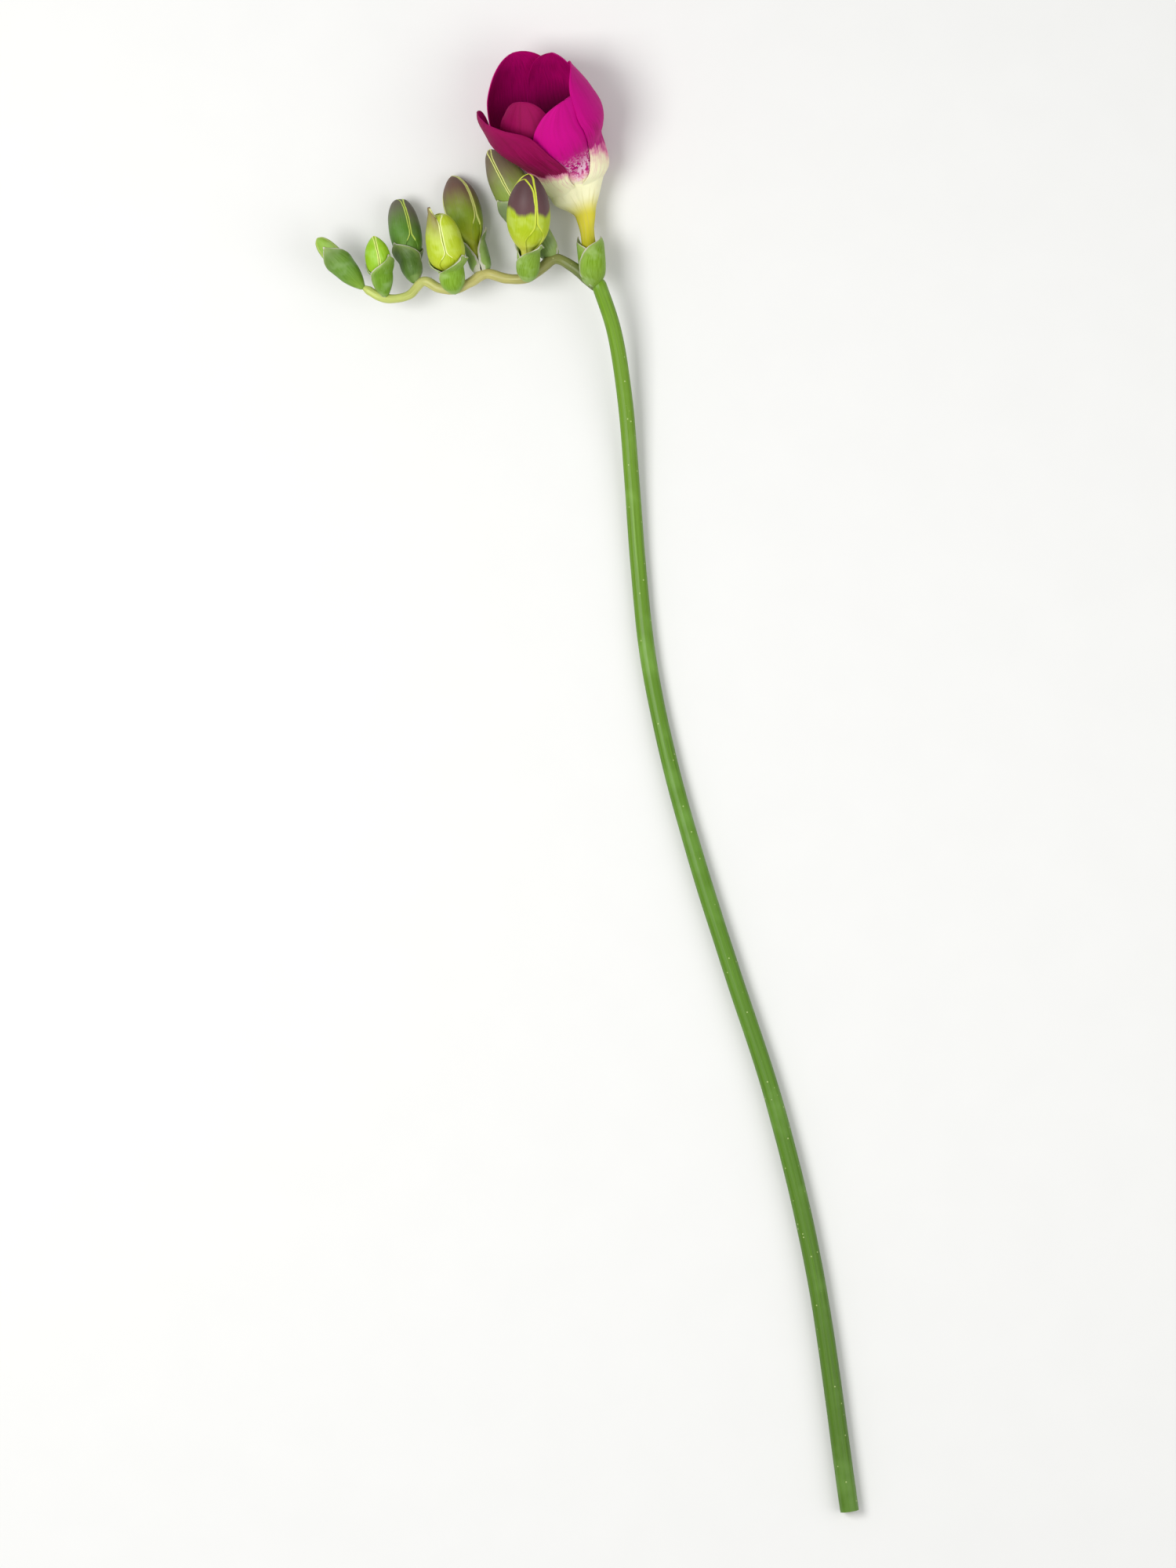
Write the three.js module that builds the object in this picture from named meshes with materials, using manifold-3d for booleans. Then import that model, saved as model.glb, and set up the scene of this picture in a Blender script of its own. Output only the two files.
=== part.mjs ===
// A cut freesia stem lying on a flat surface, in millimetres, with +Z up and +Y from the cut end to the
// flowers. Under its lowest floret the stem turns sideways into a zigzag rachis, which carries eight florets
// in two ranks like the teeth of a comb: an open bloom, then buds that shrink towards the tip. One rank leans
// up and the other leans down, so the stem rests on its cut end, on the bloom's belly and on a bud of the
// lower rank. Each floret stands in a cup of two green bracts, an inner one and an outer one.
import * as THREE from "three";
import { mergeVertices } from "three/addons/utils/BufferGeometryUtils.js";
import Module from "manifold-3d";

const wasm = await Module();
wasm.setup();

// ------------------------------------------------------------------------------ driving dimensions
// Routes and places are measured from the lowest floret's node, and shares run from 0 to 1.

// The lowest floret's node, from the middle of the bottom of the whole stem's box.
const FIRST_NODE = new THREE.Vector3(1.99, 139.14, 13.18);

// The stem's centre line, from the cut end to the lowest floret's bracts.
const STEM_ROUTE = [
  [71, -342, -10.54],
  [61, -274, -10.0],
  [50, -228, -9.8],
  [38, -191, -9.9],
  [28.5, -161, -10.1],
  [20.5, -132, -10.4],
  [14.8, -104, -10.6],
  [12, -78, -10.4],
  [10.2, -54, -9.0],
  [8.3, -32, -6.4],
  [5.2, -13, -2.9],
  [1.4, -1.5, -0.3],
  [0.2, 1.8, 0.3],
];
const STEM_RADIUS_CUT = 2.6;
const STEM_RADIUS_TOP = 2.05;

// The rachis's centre line, from inside the stem's top past each knee to the last floret.
const RACHIS_ROUTE = [
  [1.6, -3, -0.9],
  [-2.2, 1.2, -1.0],
  [-6.0, 4.4, -1.4],
  [-11.1, 6.8, -1.6],
  [-15.2, 3.9, -0.4],
  [-19.4, 1.3, 0.4],
  [-24.5, 1.2, -0.5],
  [-30.5, 2.6, -1.3],
  [-34.4, 0.3, -0.5],
  [-39.2, -1.9, 0.3],
  [-43.4, -1.4, -0.5],
  [-47.6, 0.5, -1.2],
  [-51.8, -3.4, -0.6],
  [-58.2, -4.3, 0.1],
  [-64.8, -1.0, 0],
];
const RACHIS_RADIUS_START = 1.6;
const RACHIS_RADIUS_END = 1.2;

// What a floret's two bracts share, unless the floret says otherwise. wrap: degrees that a bract reaches
// round to either side near its foot. girth: the least radius that the bracts stand round.
const BRACT_WRAP = 150;
const BRACT_GIRTH = 2.2;

// The buds, in order along the rachis. at: where the bud's axis meets the rachis. lean: degrees that the axis
// turns to the left of +Y. rise: degrees that it points up from the surface. turn: degrees from the upper
// side round to the middle of the outer bract. length: from the rachis to the tip. radius: at the belly. neck
// and belly: shares of the length. blunt: 0 for a pointed tip, 1 for a round one. outer and inner: how long
// the two bracts are.
const BUDS = [
  {
    floret: 2, at: [-11.4, 6.8, -2.0], lean: 30.5, rise: -12.2, turn: -60,
    length: 37, radius: 5.3, neck: 0.22, belly: 0.54, blunt: 0.2, outer: 22, inner: 17,
  },
  {
    floret: 3, at: [-18.8, 0.6, 1.4], lean: -1, rise: 26, turn: 46,
    length: 31.8, radius: 5.8, neck: 0.29, belly: 0.57, blunt: 0.3, outer: 12.2, inner: 11.5,
  },
  {
    floret: 4, at: [-31.2, 2.3, -1.9], lean: 17, rise: -16.6, turn: 90,
    length: 31, radius: 4.8, neck: 0.3, belly: 0.66, blunt: 0.1, outer: 13.6, inner: 13.2, wrap: 92,
  },
  {
    floret: 5, at: [-38.9, -2.8, 1.4], lean: 12, rise: 20, turn: 45,
    length: 26.2, radius: 4.7, neck: 0.3, belly: 0.58, blunt: 0.8, outer: 11.4, inner: 11.6, girth: 2.6,
  },
  {
    floret: 6, at: [-50.0, 0.3, -1.5], lean: 11.5, rise: -16, turn: -50,
    length: 25.2, radius: 4.2, neck: 0.2, belly: 0.58, blunt: 0.75, outer: 11.6, inner: 11,
  },
  {
    floret: 7, at: [-58.3, -3.7, 1.0], lean: 10.5, rise: 16, turn: 50,
    length: 17.4, radius: 3.3, neck: 0.3, belly: 0.58, blunt: 0.05, outer: 12, inner: 11,
  },
  {
    floret: 8, at: [-64.4, -1.4, 0], lean: 43, rise: 3, turn: -10,
    length: 18.9, radius: 2.5, neck: 0.2, belly: 0.55, blunt: 0.9, outer: 15.8, inner: 15.2, wrap: 165,
  },
];
const SEAM_DEPTH = 0.1; // a share of the bud's radius

// The bloom's centre line, up its tube and through the middle of its cup.
const BLOOM_ROUTE = [
  [-0.8, 0.6, 0.9],
  [-1.7, 10, -2.1],
  [-2.7, 17.3, -4.5],
  [-4.3, 22, -5.6],
  [-6.5, 27.3, -5.2],
  [-8.7, 33, -3.2],
  [-12.0, 39, 0.5],
  [-14.5, 45, 4.6],
  [-16.0, 50.5, 8.7],
  [-17.3, 55.5, 12.6],
  [-18.4, 59.8, 15.9],
];
const BLOOM_BRACTS = {
  at: [-0.5, -0.8, 1.4], lean: 5.4, rise: -17.6, turn: 68, outer: 14, inner: 15.4, girth: 2.8,
};
const BLOOM_WALL = 0.8;
const TUBE_RADIUS = 2.0;
// Where along the bloom's centre line the tube starts, opens, starts to widen and becomes the throat.
const TUBE_START = 2.4;
const TUBE_OPENS = 7;
const TUBE_WIDENS = 14;
const THROAT = 21;
// The cup's side in section, from the throat to the lip: how far along the centre line, and how far out.
const CUP_SIDE = [
  [0, 2.5],
  [4, 3.8],
  [8, 6.0],
  [13, 9.4],
  [19, 13.0],
  [25, 15.6],
  [31, 16.7],
  [36.5, 16.4],
  [41.5, 15.3],
  [46, 13.9],
];
// Where the cup differs from a round one. round: degrees from the upper side round to the middle of a
// swelling. at: how far along the centre line it is highest. reach: how far it runs from there. out: its
// height.
const SWELLINGS = [
  { round: 90, at: 28, reach: 13, out: 4.2 },
  { round: -90, at: 26, reach: 4.5, out: 1.8 },
  { round: -90, at: 41, reach: 10, out: -3.6 },
  { round: -90, at: 58, reach: 12, out: 1.8 },
  { round: -128, at: 60, reach: 18, out: -2.4 },
];
const JOINED_SHARE = 0.27; // the share of the cup's side up to which the tepals are one wall
const TEPAL_HALF_WIDTH = 13.5;
const TEPAL_HOLLOW = 0.8; // how far a tepal's margins lie inside its middle
// round: degrees from the upper side round to the middle of the tepal. reach: the share of the cup's side at
// which its tip lies. lean: how far its upper half leans in. curl: how far its tip then bends out. width: a
// share of the usual width. blunt: how little it narrows before its end.
const TEPALS = [
  { layer: "outer", round: -57, reach: 0.84, lean: 1.5, curl: 2.4, width: 1.15, blunt: 4.5 },
  { layer: "outer", round: 83, reach: 0.98, lean: 3.6, curl: 0, width: 1, blunt: 2.4 },
  { layer: "outer", round: 199, reach: 0.99, lean: 1.2, curl: 0, width: 1, blunt: 2.4 },
  { layer: "inner", round: 33, reach: 0.88, lean: 2.4, curl: 0, width: 1.16, blunt: 2.4 },
  { layer: "inner", round: 141, reach: 0.96, lean: 2.5, curl: 0, width: 1, blunt: 2.4 },
  { layer: "inner", round: -30, reach: 0.91, lean: 5, curl: 0, width: 0.98, blunt: 2.4 },
];
const LAYER_STEP = 0.55; // an outer tepal stands this far outside the cup's side, and an inner one inside it

// The style and stamens run beside the bloom's centre line, and their ends are places along it.
const STYLE_START = 7;
const STYLE_END = 45;
const STYLE_RADIUS = 0.42;
const STYLE_ARM = { length: 4, spread: 2.4, radius: 0.36 };
const STAMEN_START = 24;
const STAMEN_END = 43;
const STAMEN_SPREAD = { start: 1.3, end: 2.3 };
const FILAMENT_RADIUS = 0.38;
const ANTHER = { length: 7, radius: 0.75 };
const THIRDS = [0, 120, 240]; // degrees
const STAMEN_TURN = 40;

const BRACT_WALL = 0.6;
const BRACT_CLEAR = 0.48; // between a bract and what it holds
const BRACT_CHORD = 1.04; // keeps a bract's flat facets clear of the round thing that it holds
const BRACT_STEP = 0.8; // from the inner bract out to the outer one
const BRACT_TIP_WRAP = 10;
const BRACT_ROOT = -0.6; // where a bract starts along its floret's axis
// A bract's foot. blunt: how far it would still have to go to a sharp point. spread: how fast it opens there.
// fills: the length over which it opens faster by as much again.
const BRACT_FOOT = { blunt: 0.02, spread: 1.5, fills: 12 };

const GAP = 0.3; // between a piece and the green axis that it stands on

const SHORTEST_EDGE = 0.005; // edges that a cut leaves shorter than this are closed up

// Facets, as sides and steps, or as steps across and along a blade.
const STEM_FACETS = [8, 34];
const RACHIS_FACETS = [8, 40];
const BUD_SIDES = 18;
const TUBE_SIDES = 18;
const BRACT_FACETS = [10, 7];
const TEPAL_FACETS = [8, 10];
const STYLE_FACETS = [6, 12];
const ARM_FACETS = [6, 4];
const STAMEN_FACETS = [6, 14];

const MATERIALS = {
  stem: new THREE.MeshStandardMaterial({ color: 0x6f9a2c, roughness: 0.45, metalness: 0 }),
  bud: new THREE.MeshStandardMaterial({ color: 0xa9bf3c, roughness: 0.45, metalness: 0 }),
  bloom: new THREE.MeshStandardMaterial({ color: 0xb80778, roughness: 0.5, metalness: 0 }),
  stamen: new THREE.MeshStandardMaterial({ color: 0xc9bccb, roughness: 0.6, metalness: 0 }),
  style: new THREE.MeshStandardMaterial({ color: 0xe2d6e0, roughness: 0.6, metalness: 0 }),
};

const degrees = THREE.MathUtils.degToRad;
const clamp = THREE.MathUtils.clamp;
const lerp = THREE.MathUtils.lerp;
const smooth = THREE.MathUtils.smoothstep;

// 1 at the middle, and a smooth fall to 0 at the given reach on either side of it.
const bump = (value, middle, reach) => 1 - smooth(Math.abs(value - middle), 0, reach);

// ------------------------------------------------------------------------------ solids

// A closed geometry as a manifold-3d solid.
function solidOf(geometry) {
  const bare = geometry.clone();
  bare.deleteAttribute("normal");
  bare.deleteAttribute("uv");
  const merged = mergeVertices(bare, 1e-4);
  const mesh = new wasm.Mesh({
    numProp: 3,
    vertProperties: merged.attributes.position.array,
    triVerts: new Uint32Array(merged.index.array),
  });
  return new wasm.Manifold(mesh);
}

// A solid as a named mesh. Only its largest body is kept, so a scrap that a cut leaves loose is dropped and a
// sealed hollow is filled. Slivers that a cut leaves are merged into their neighbours.
function meshOf(name, solid, material) {
  const bodies = solid.decompose().sort((a, b) => b.volume() - a.volume());
  const { vertProperties, triVerts } = bodies[0].simplify(SHORTEST_EDGE).getMesh();
  const geometry = new THREE.BufferGeometry();
  geometry.setAttribute("position", new THREE.BufferAttribute(vertProperties, 3));
  geometry.setIndex(new THREE.BufferAttribute(triVerts, 1));
  const mesh = new THREE.Mesh(geometry, material);
  mesh.name = name;
  return mesh;
}

function union(solids) {
  return solids.reduce((sum, solid) => sum.add(solid));
}

// Moves each vertex of a geometry to where a function says.
function reshape(geometry, place) {
  const position = geometry.attributes.position;
  const vertex = new THREE.Vector3();
  for (let i = 0; i < position.count; i++) {
    vertex.fromBufferAttribute(position, i);
    position.setXYZ(i, ...place(vertex).toArray());
  }
  return geometry;
}

// A closed blade. place(u, v, face) gives its points, with u from -1 to 1 across, v from 0 to 1 along, and
// face 0 on the inner side and 1 on the outer side. Both faces are split into triangles alike, so they never
// cross.
function bladeSolid([across, along], place) {
  const points = [];
  for (const face of [0, 1]) {
    for (let j = 0; j <= along; j++) {
      for (let i = 0; i <= across; i++) points.push(place((2 * i) / across - 1, j / along, face));
    }
  }
  const index = (i, j, face) => (face * (along + 1) + j) * (across + 1) + i;
  const triangles = [];
  const rim = (i, j, iNext, jNext) => {
    const [a, b] = [index(i, j, 0), index(iNext, jNext, 0)];
    const [c, d] = [index(iNext, jNext, 1), index(i, j, 1)];
    triangles.push([b, a, c], [a, d, c]);
  };
  for (let j = 0; j < along; j++) {
    for (let i = 0; i < across; i++) {
      const [a, b] = [index(i, j, 0), index(i + 1, j, 0)];
      const [c, d] = [index(i + 1, j + 1, 0), index(i, j + 1, 0)];
      const [p, q, r, s] = [a, b, c, d].map((inner) => inner + (across + 1) * (along + 1));
      triangles.push([a, b, d], [b, c, d], [p, s, q], [q, s, r]);
    }
    rim(0, j + 1, 0, j);
    rim(across, j, across, j + 1);
  }
  for (let i = 0; i < across; i++) {
    rim(i, 0, i + 1, 0);
    rim(i + 1, along, i, along);
  }
  const geometry = new THREE.BufferGeometry().setFromPoints(points);
  const solid = solidOf(geometry.setIndex(triangles.flat()));
  if (solid.volume() > 0) return solid;
  return solidOf(geometry.setIndex(triangles.map((corners) => corners.reverse()).flat()));
}

// ------------------------------------------------------------------------------ curves

function curveThrough(points) {
  const vectors = points.map((point) => new THREE.Vector3(...point));
  return new THREE.CatmullRomCurve3(vectors, false, "centripetal");
}

// A curve's point at a share of its length, with the normal that points up and the one to the side.
function frameAt(curve, share) {
  const point = curve.getPointAt(share);
  const along = curve.getTangentAt(share).normalize();
  const up = new THREE.Vector3(0, 0, 1).addScaledVector(along, -along.z).normalize();
  const side = new THREE.Vector3().crossVectors(along, up);
  return { point, up, side };
}

// A point at a distance from a curve, at an angle from its upper side.
function beside({ point, up, side }, distance, angle) {
  const out = up.clone().multiplyScalar(distance * Math.cos(angle));
  return out.addScaledVector(side, distance * Math.sin(angle)).add(point);
}

// A solid of revolution about +Y, bent so that its axis runs along a curve.
function bent(geometry, curve, shareOf) {
  return reshape(geometry, (v) => {
    const frame = frameAt(curve, clamp(shareOf(v.y), 0, 1));
    return beside(frame, Math.hypot(v.x, v.z), Math.atan2(v.x, v.z));
  });
}

// A round rod along a curve, whose radius is a function of the share of the curve's length.
function rodSolid(curve, radiusAt, [sides, steps]) {
  const cylinder = new THREE.CylinderGeometry(1, 1, 1, sides, steps);
  const tapered = reshape(cylinder, (v) => {
    const radius = radiusAt(v.y + 0.5);
    return new THREE.Vector3(v.x * radius, v.y, v.z * radius);
  });
  return solidOf(bent(tapered, curve, (y) => y + 0.5));
}

// ------------------------------------------------------------------------------ stem and rachis

// The green axis, grown by a margin where it cuts a seat for what stands on it.
function axisSolid(margin) {
  const stemRadius = (share) => lerp(STEM_RADIUS_CUT, STEM_RADIUS_TOP, share) + margin;
  const rachisRadius = (share) => lerp(RACHIS_RADIUS_START, RACHIS_RADIUS_END, share) + margin;
  const stem = rodSolid(curveThrough(STEM_ROUTE), stemRadius, STEM_FACETS);
  const rachis = rodSolid(curveThrough(RACHIS_ROUTE), rachisRadius, RACHIS_FACETS);
  return union([stem, rachis]);
}

const seatCutter = axisSolid(GAP);

// ------------------------------------------------------------------------------ bracts and buds

// An empty group in a floret's frame, with +Y along its axis and +Z on its upper side.
function floretGroup({ at, lean, rise }) {
  const axis = new THREE.Vector3(0, Math.cos(degrees(rise)), Math.sin(degrees(rise)));
  axis.applyAxisAngle(new THREE.Vector3(0, 0, 1), degrees(lean));
  const up = new THREE.Vector3(0, 0, 1).addScaledVector(axis, -axis.z).normalize();
  const side = new THREE.Vector3().crossVectors(axis, up);
  const group = new THREE.Group();
  group.quaternion.setFromRotationMatrix(new THREE.Matrix4().makeBasis(side, axis, up));
  group.position.set(...at);
  group.updateMatrix();
  return group;
}

// A bud's section as places along it and radii, both in shares: a foot, a narrow neck, a belly and a tip.
function budOutline({ neck, belly, blunt }) {
  const rising = (share) => lerp(neck, belly, share);
  const falling = (share) => lerp(belly, 1, share);
  return [
    [0.07, 0],
    [0.075, 0.2],
    [0.16, 0.33],
    [neck, 0.37],
    [rising(0.28), 0.68],
    [rising(0.58), 0.9],
    [belly, 1],
    [falling(0.3), 0.96],
    [falling(0.55), lerp(0.8, 0.88, blunt)],
    [falling(0.77), lerp(0.5, 0.7, blunt)],
    [falling(0.91), lerp(0.25, 0.46, blunt)],
    [1, 0],
  ];
}

// A bud's radius as a function of the distance from the rachis.
function budRadius(bud) {
  const outline = budOutline(bud);
  return (along) => {
    const share = Math.max(along / bud.length, outline[0][0]);
    const next = Math.max(1, outline.findIndex(([place]) => place >= share));
    const [from, fromRadius] = outline[next - 1];
    const [to, toRadius] = outline[next];
    return bud.radius * lerp(fromRadius, toRadius, (share - from) / (to - from));
  };
}

// A closed bud, with a groove along each of the three seams between its outer tepals.
function budMesh(bud) {
  const outline = budOutline(bud);
  const profile = outline.map(([along, out]) => new THREE.Vector2(out * bud.radius, along * bud.length));
  const spindle = reshape(new THREE.LatheGeometry(profile, BUD_SIDES), (v) => {
    const seam = Math.max(0, Math.cos(3 * Math.atan2(v.x, v.z))) ** 6;
    const out = 1 - SEAM_DEPTH * seam * smooth(v.y / bud.length, bud.neck, bud.belly);
    return new THREE.Vector3(v.x * out, v.y, v.z * out);
  });
  const group = floretGroup(bud);
  const seat = seatCutter.transform(group.matrix.clone().invert().toArray());
  group.add(meshOf(`bud_${bud.floret}`, solidOf(spindle).subtract(seat), MATERIALS.bud));
  return group;
}

// One bract in its floret's frame: a pointed cup that rises from a pointed foot and follows what it holds.
// Its rows lie closer together towards the tip, where it narrows most.
function bractSolid({ turn, length, radiusAt, clear, wrap, girth }) {
  return bladeSolid(BRACT_FACETS, (u, row, face) => {
    const share = 1 - (1 - row) ** 1.6;
    const along = lerp(BRACT_ROOT, length, share);
    const rise = along - BRACT_ROOT + BRACT_FOOT.blunt;
    const full = BRACT_CHORD * Math.max(radiusAt(along), girth) + clear;
    const opened = (BRACT_FOOT.spread * Math.sqrt(rise) * (1 + rise / BRACT_FOOT.fills)) / full;
    const out = (full * opened) / (1 + opened ** 4) ** 0.25 + face * BRACT_WALL;
    const around = (1 - share ** 3) ** 1.2 * lerp(0.86, 1, smooth(share, 0, 0.3));
    const angle = degrees(turn + u * lerp(BRACT_TIP_WRAP, wrap, around));
    return new THREE.Vector3(out * Math.sin(angle), along - u * u * share, out * Math.cos(angle));
  });
}

// A floret's two bracts, one inside the other, in the stem's frame.
function bractPair(floret, radiusAt) {
  const { turn, inner, outer, wrap = BRACT_WRAP, girth = BRACT_GIRTH } = floret;
  const shared = { radiusAt, wrap, girth };
  const inside = bractSolid({ ...shared, turn: turn + 180, length: inner, clear: BRACT_CLEAR });
  const outside = bractSolid({ ...shared, turn, length: outer, clear: BRACT_CLEAR + BRACT_STEP });
  return union([inside, outside]).transform(floretGroup(floret).matrix.toArray());
}

// All that is green and grows in one piece: the stem, the rachis and the bracts.
function stemMesh() {
  const tubeRadiusAt = (along) => lerp(1.2, TUBE_RADIUS, smooth(along, 0, 3));
  const bloomPair = bractPair(BLOOM_BRACTS, tubeRadiusAt);
  const budPairs = BUDS.map((bud) => bractPair(bud, budRadius(bud)));
  return meshOf("stem", union([axisSolid(0), bloomPair, ...budPairs]), MATERIALS.stem);
}

// ------------------------------------------------------------------------------ the open bloom

const bloomCurve = curveThrough(BLOOM_ROUTE);
const bloomLength = bloomCurve.getLength();
const cupSide = curveThrough(CUP_SIDE.map(([along, out]) => [THROAT + along, out, 0]));

// A point of the bloom at a distance from its centre line, at an angle from its upper side.
function bloomPoint(along, out, angle) {
  const swollen = SWELLINGS.reduce((sum, swelling) => {
    const facing = Math.max(0, Math.cos(angle - degrees(swelling.round)));
    return sum + swelling.out * facing * bump(along, swelling.at, swelling.reach);
  }, out);
  return beside(frameAt(bloomCurve, clamp(along / bloomLength, 0, 1)), swollen, angle);
}

// The bloom's tube and throat: a hollow wall of revolution, solid at its foot and open at its mouth.
function tubeSolid() {
  const throat = [0, 0.3, 0.6, 1].map((share) => cupSide.getPointAt(share * JOINED_SHARE));
  const flare = lerp(TUBE_WIDENS, THROAT, 0.6);
  const wall = [
    [0, TUBE_START],
    [0.6 * TUBE_RADIUS, TUBE_START + 0.1],
    [TUBE_RADIUS, TUBE_OPENS],
    [TUBE_RADIUS, TUBE_WIDENS],
    [1.17 * TUBE_RADIUS, flare],
    ...throat.map((point) => [point.y, point.x]),
    ...throat.map((point) => [point.y - BLOOM_WALL, point.x + 0.4 * BLOOM_WALL]).reverse(),
    [1.17 * TUBE_RADIUS - BLOOM_WALL, flare],
    [TUBE_RADIUS - BLOOM_WALL, TUBE_WIDENS],
    [TUBE_RADIUS - BLOOM_WALL, TUBE_OPENS],
    [0, TUBE_OPENS - 1],
  ];
  const section = wall.map(([out, along]) => new THREE.Vector2(out, along));
  const lathe = new THREE.LatheGeometry(section, TUBE_SIDES);
  return solidOf(reshape(lathe, (v) => bloomPoint(v.y, Math.hypot(v.x, v.z), Math.atan2(v.x, v.z))));
}

// A tepal's half width as a share of its widest: narrow at the root, widest above the middle, round on top.
function tepalOutline(share, blunt) {
  const widest = 0.62;
  if (share < widest) return lerp(0.45, 1, smooth(share, 0, widest));
  return Math.max(0.12, (1 - ((share - widest) / (1 - widest)) ** blunt) ** 0.5);
}

// A tepal's free blade, which starts inside the throat's wall and follows the cup's side. Its rows lie closer
// together towards the tip, where it narrows most.
function tepalSolid({ layer, round, reach, lean, curl, width, blunt }) {
  const step = layer === "outer" ? LAYER_STEP : -LAYER_STEP;
  return bladeSolid(TEPAL_FACETS, (u, row, face) => {
    const v = 1 - (1 - row) ** 1.4;
    const { x: along, y: side } = cupSide.getPointAt(lerp(0.6 * JOINED_SHARE, reach, v));
    const share = width * tepalOutline(v, blunt);
    const hollow = TEPAL_HOLLOW * u * u * v * share;
    const inward = hollow + lean * smooth(v, 0.5, 1) - curl * smooth(v, 0.66, 1) ** 2;
    const out = side + step * smooth(v, 0, 0.3) - inward + (face - 0.5) * BLOOM_WALL;
    const around = (u * share * TEPAL_HALF_WIDTH) / Math.max(side, 6);
    return bloomPoint(along, out, degrees(round) + around);
  });
}

function bloomMesh() {
  const perianth = union([tubeSolid(), ...TEPALS.map(tepalSolid)]);
  return meshOf("bloom_1", perianth.subtract(seatCutter), MATERIALS.bloom);
}

// A thin rod inside the bloom. spreadAt gives its distance from the centre line.
function innerRod({ start, end, turn, spreadAt, radiusAt, facets }) {
  const points = [0, 0.2, 0.4, 0.6, 0.8, 1].map((share) => {
    const frame = frameAt(bloomCurve, lerp(start, end, share) / bloomLength);
    return beside(frame, spreadAt(share), degrees(turn));
  });
  return rodSolid(new THREE.CatmullRomCurve3(points), radiusAt, facets);
}

// The style, which ends in three short arms.
function styleMesh() {
  const column = innerRod({
    start: STYLE_START,
    end: STYLE_END,
    turn: 0,
    spreadAt: () => 0,
    radiusAt: () => STYLE_RADIUS,
    facets: STYLE_FACETS,
  });
  const arms = THIRDS.map((turn) =>
    innerRod({
      start: STYLE_END - 1,
      end: STYLE_END + STYLE_ARM.length - 1,
      turn,
      spreadAt: (share) => STYLE_ARM.spread * share,
      radiusAt: () => STYLE_ARM.radius,
      facets: ARM_FACETS,
    }),
  );
  return meshOf("style", union([column, ...arms]), MATERIALS.style);
}

// A stamen: a filament that ends in a thicker anther.
function stamenMesh(turn, i) {
  const antherShare = 1 - ANTHER.length / (STAMEN_END - STAMEN_START);
  const stamen = innerRod({
    start: STAMEN_START,
    end: STAMEN_END,
    turn: STAMEN_TURN + turn,
    spreadAt: (share) => lerp(STAMEN_SPREAD.start, STAMEN_SPREAD.end, share),
    radiusAt: (share) => {
      const thickening = smooth(share, antherShare - 0.04, antherShare + 0.04);
      const tapering = 1 - 0.5 * smooth(share, 0.93, 1);
      return lerp(FILAMENT_RADIUS, ANTHER.radius, thickening * tapering);
    },
    facets: STAMEN_FACETS,
  });
  return meshOf(`stamen_${i + 1}`, stamen, MATERIALS.stamen);
}

// ------------------------------------------------------------------------------ the whole stem

const freesia = new THREE.Group();
freesia.position.copy(FIRST_NODE);
freesia.add(stemMesh(), bloomMesh(), styleMesh());
freesia.add(...THIRDS.map(stamenMesh), ...BUDS.map(budMesh));

export default freesia;
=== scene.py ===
"""Dresses a cut freesia stem: its green axis, its bracts and buds, its open bloom, and the table and light.

Lengths are millimetres and angles are degrees, unless a name or a comment says otherwise. Places are
measured from the lowest floret's node, with +Y towards the flowers and +Z up from the table. A mesh is moved
to the part's own origin, in metres, when it is finished.
"""

import logging
import math
from bisect import bisect_right
from collections.abc import Callable, Sequence
from dataclasses import dataclass, field
from enum import Enum
from itertools import accumulate, pairwise

import bmesh
import bpy
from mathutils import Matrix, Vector


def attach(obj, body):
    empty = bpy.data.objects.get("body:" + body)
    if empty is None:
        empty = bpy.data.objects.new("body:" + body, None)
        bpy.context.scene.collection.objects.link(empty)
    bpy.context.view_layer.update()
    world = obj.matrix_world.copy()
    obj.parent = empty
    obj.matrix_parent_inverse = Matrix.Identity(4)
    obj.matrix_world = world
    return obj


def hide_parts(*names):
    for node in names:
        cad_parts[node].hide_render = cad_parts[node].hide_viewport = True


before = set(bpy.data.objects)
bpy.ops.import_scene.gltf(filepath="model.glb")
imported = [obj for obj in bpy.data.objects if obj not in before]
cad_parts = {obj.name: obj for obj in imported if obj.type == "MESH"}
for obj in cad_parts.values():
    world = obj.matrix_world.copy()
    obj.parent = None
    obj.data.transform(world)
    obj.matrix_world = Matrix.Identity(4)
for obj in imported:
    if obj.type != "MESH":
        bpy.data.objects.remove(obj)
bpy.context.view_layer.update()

METRES = 0.001
FIRST_NODE = Vector((1.99, 139.14, 13.18))  # the lowest floret's node, from the part's origin
NO_EDGE = 9.0  # the edge mark where no free margin is near
THIRD = 120.0  # degrees from one to the next of three that stand round a line

Triple = tuple[float, float, float]
Pair = tuple[float, float]
Cells = tuple[int, int]  # a mesh's faces across or round, and along
Colour = tuple[int, int, int]  # sRGB, 0 to 255
Place = Callable[[float, float, float], Vector]
Measure = Callable[[float, float], dict["Mark", float]]
Socket = bpy.types.NodeSocket

log = logging.getLogger("freesia")


class Mark(Enum):
    """What each point of a mesh tells its finish, kept as a float attribute of that name."""

    EDGE = "edge"  # millimetres from the nearest free margin
    RISE = "rise"  # millimetres or share along the organ, from its foot
    FLUSH = "flush"  # above 0 where the second colour lies, and below 0 where it doesn't reach
    FACE = "face"  # 0 on the inner face and 1 on the outer one
    FROST = "frost"  # how much pale mist lies on a petal


class Layer(Enum):
    """The two whorls of a freesia's six tepals."""

    INNER = -1
    OUTER = 1


# ------------------------------------------------------------ numbers and lines


def lerp(start: float, end: float, share: float) -> float:
    """The value at a share of the way from start to end."""
    return start + (end - start) * share


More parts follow.
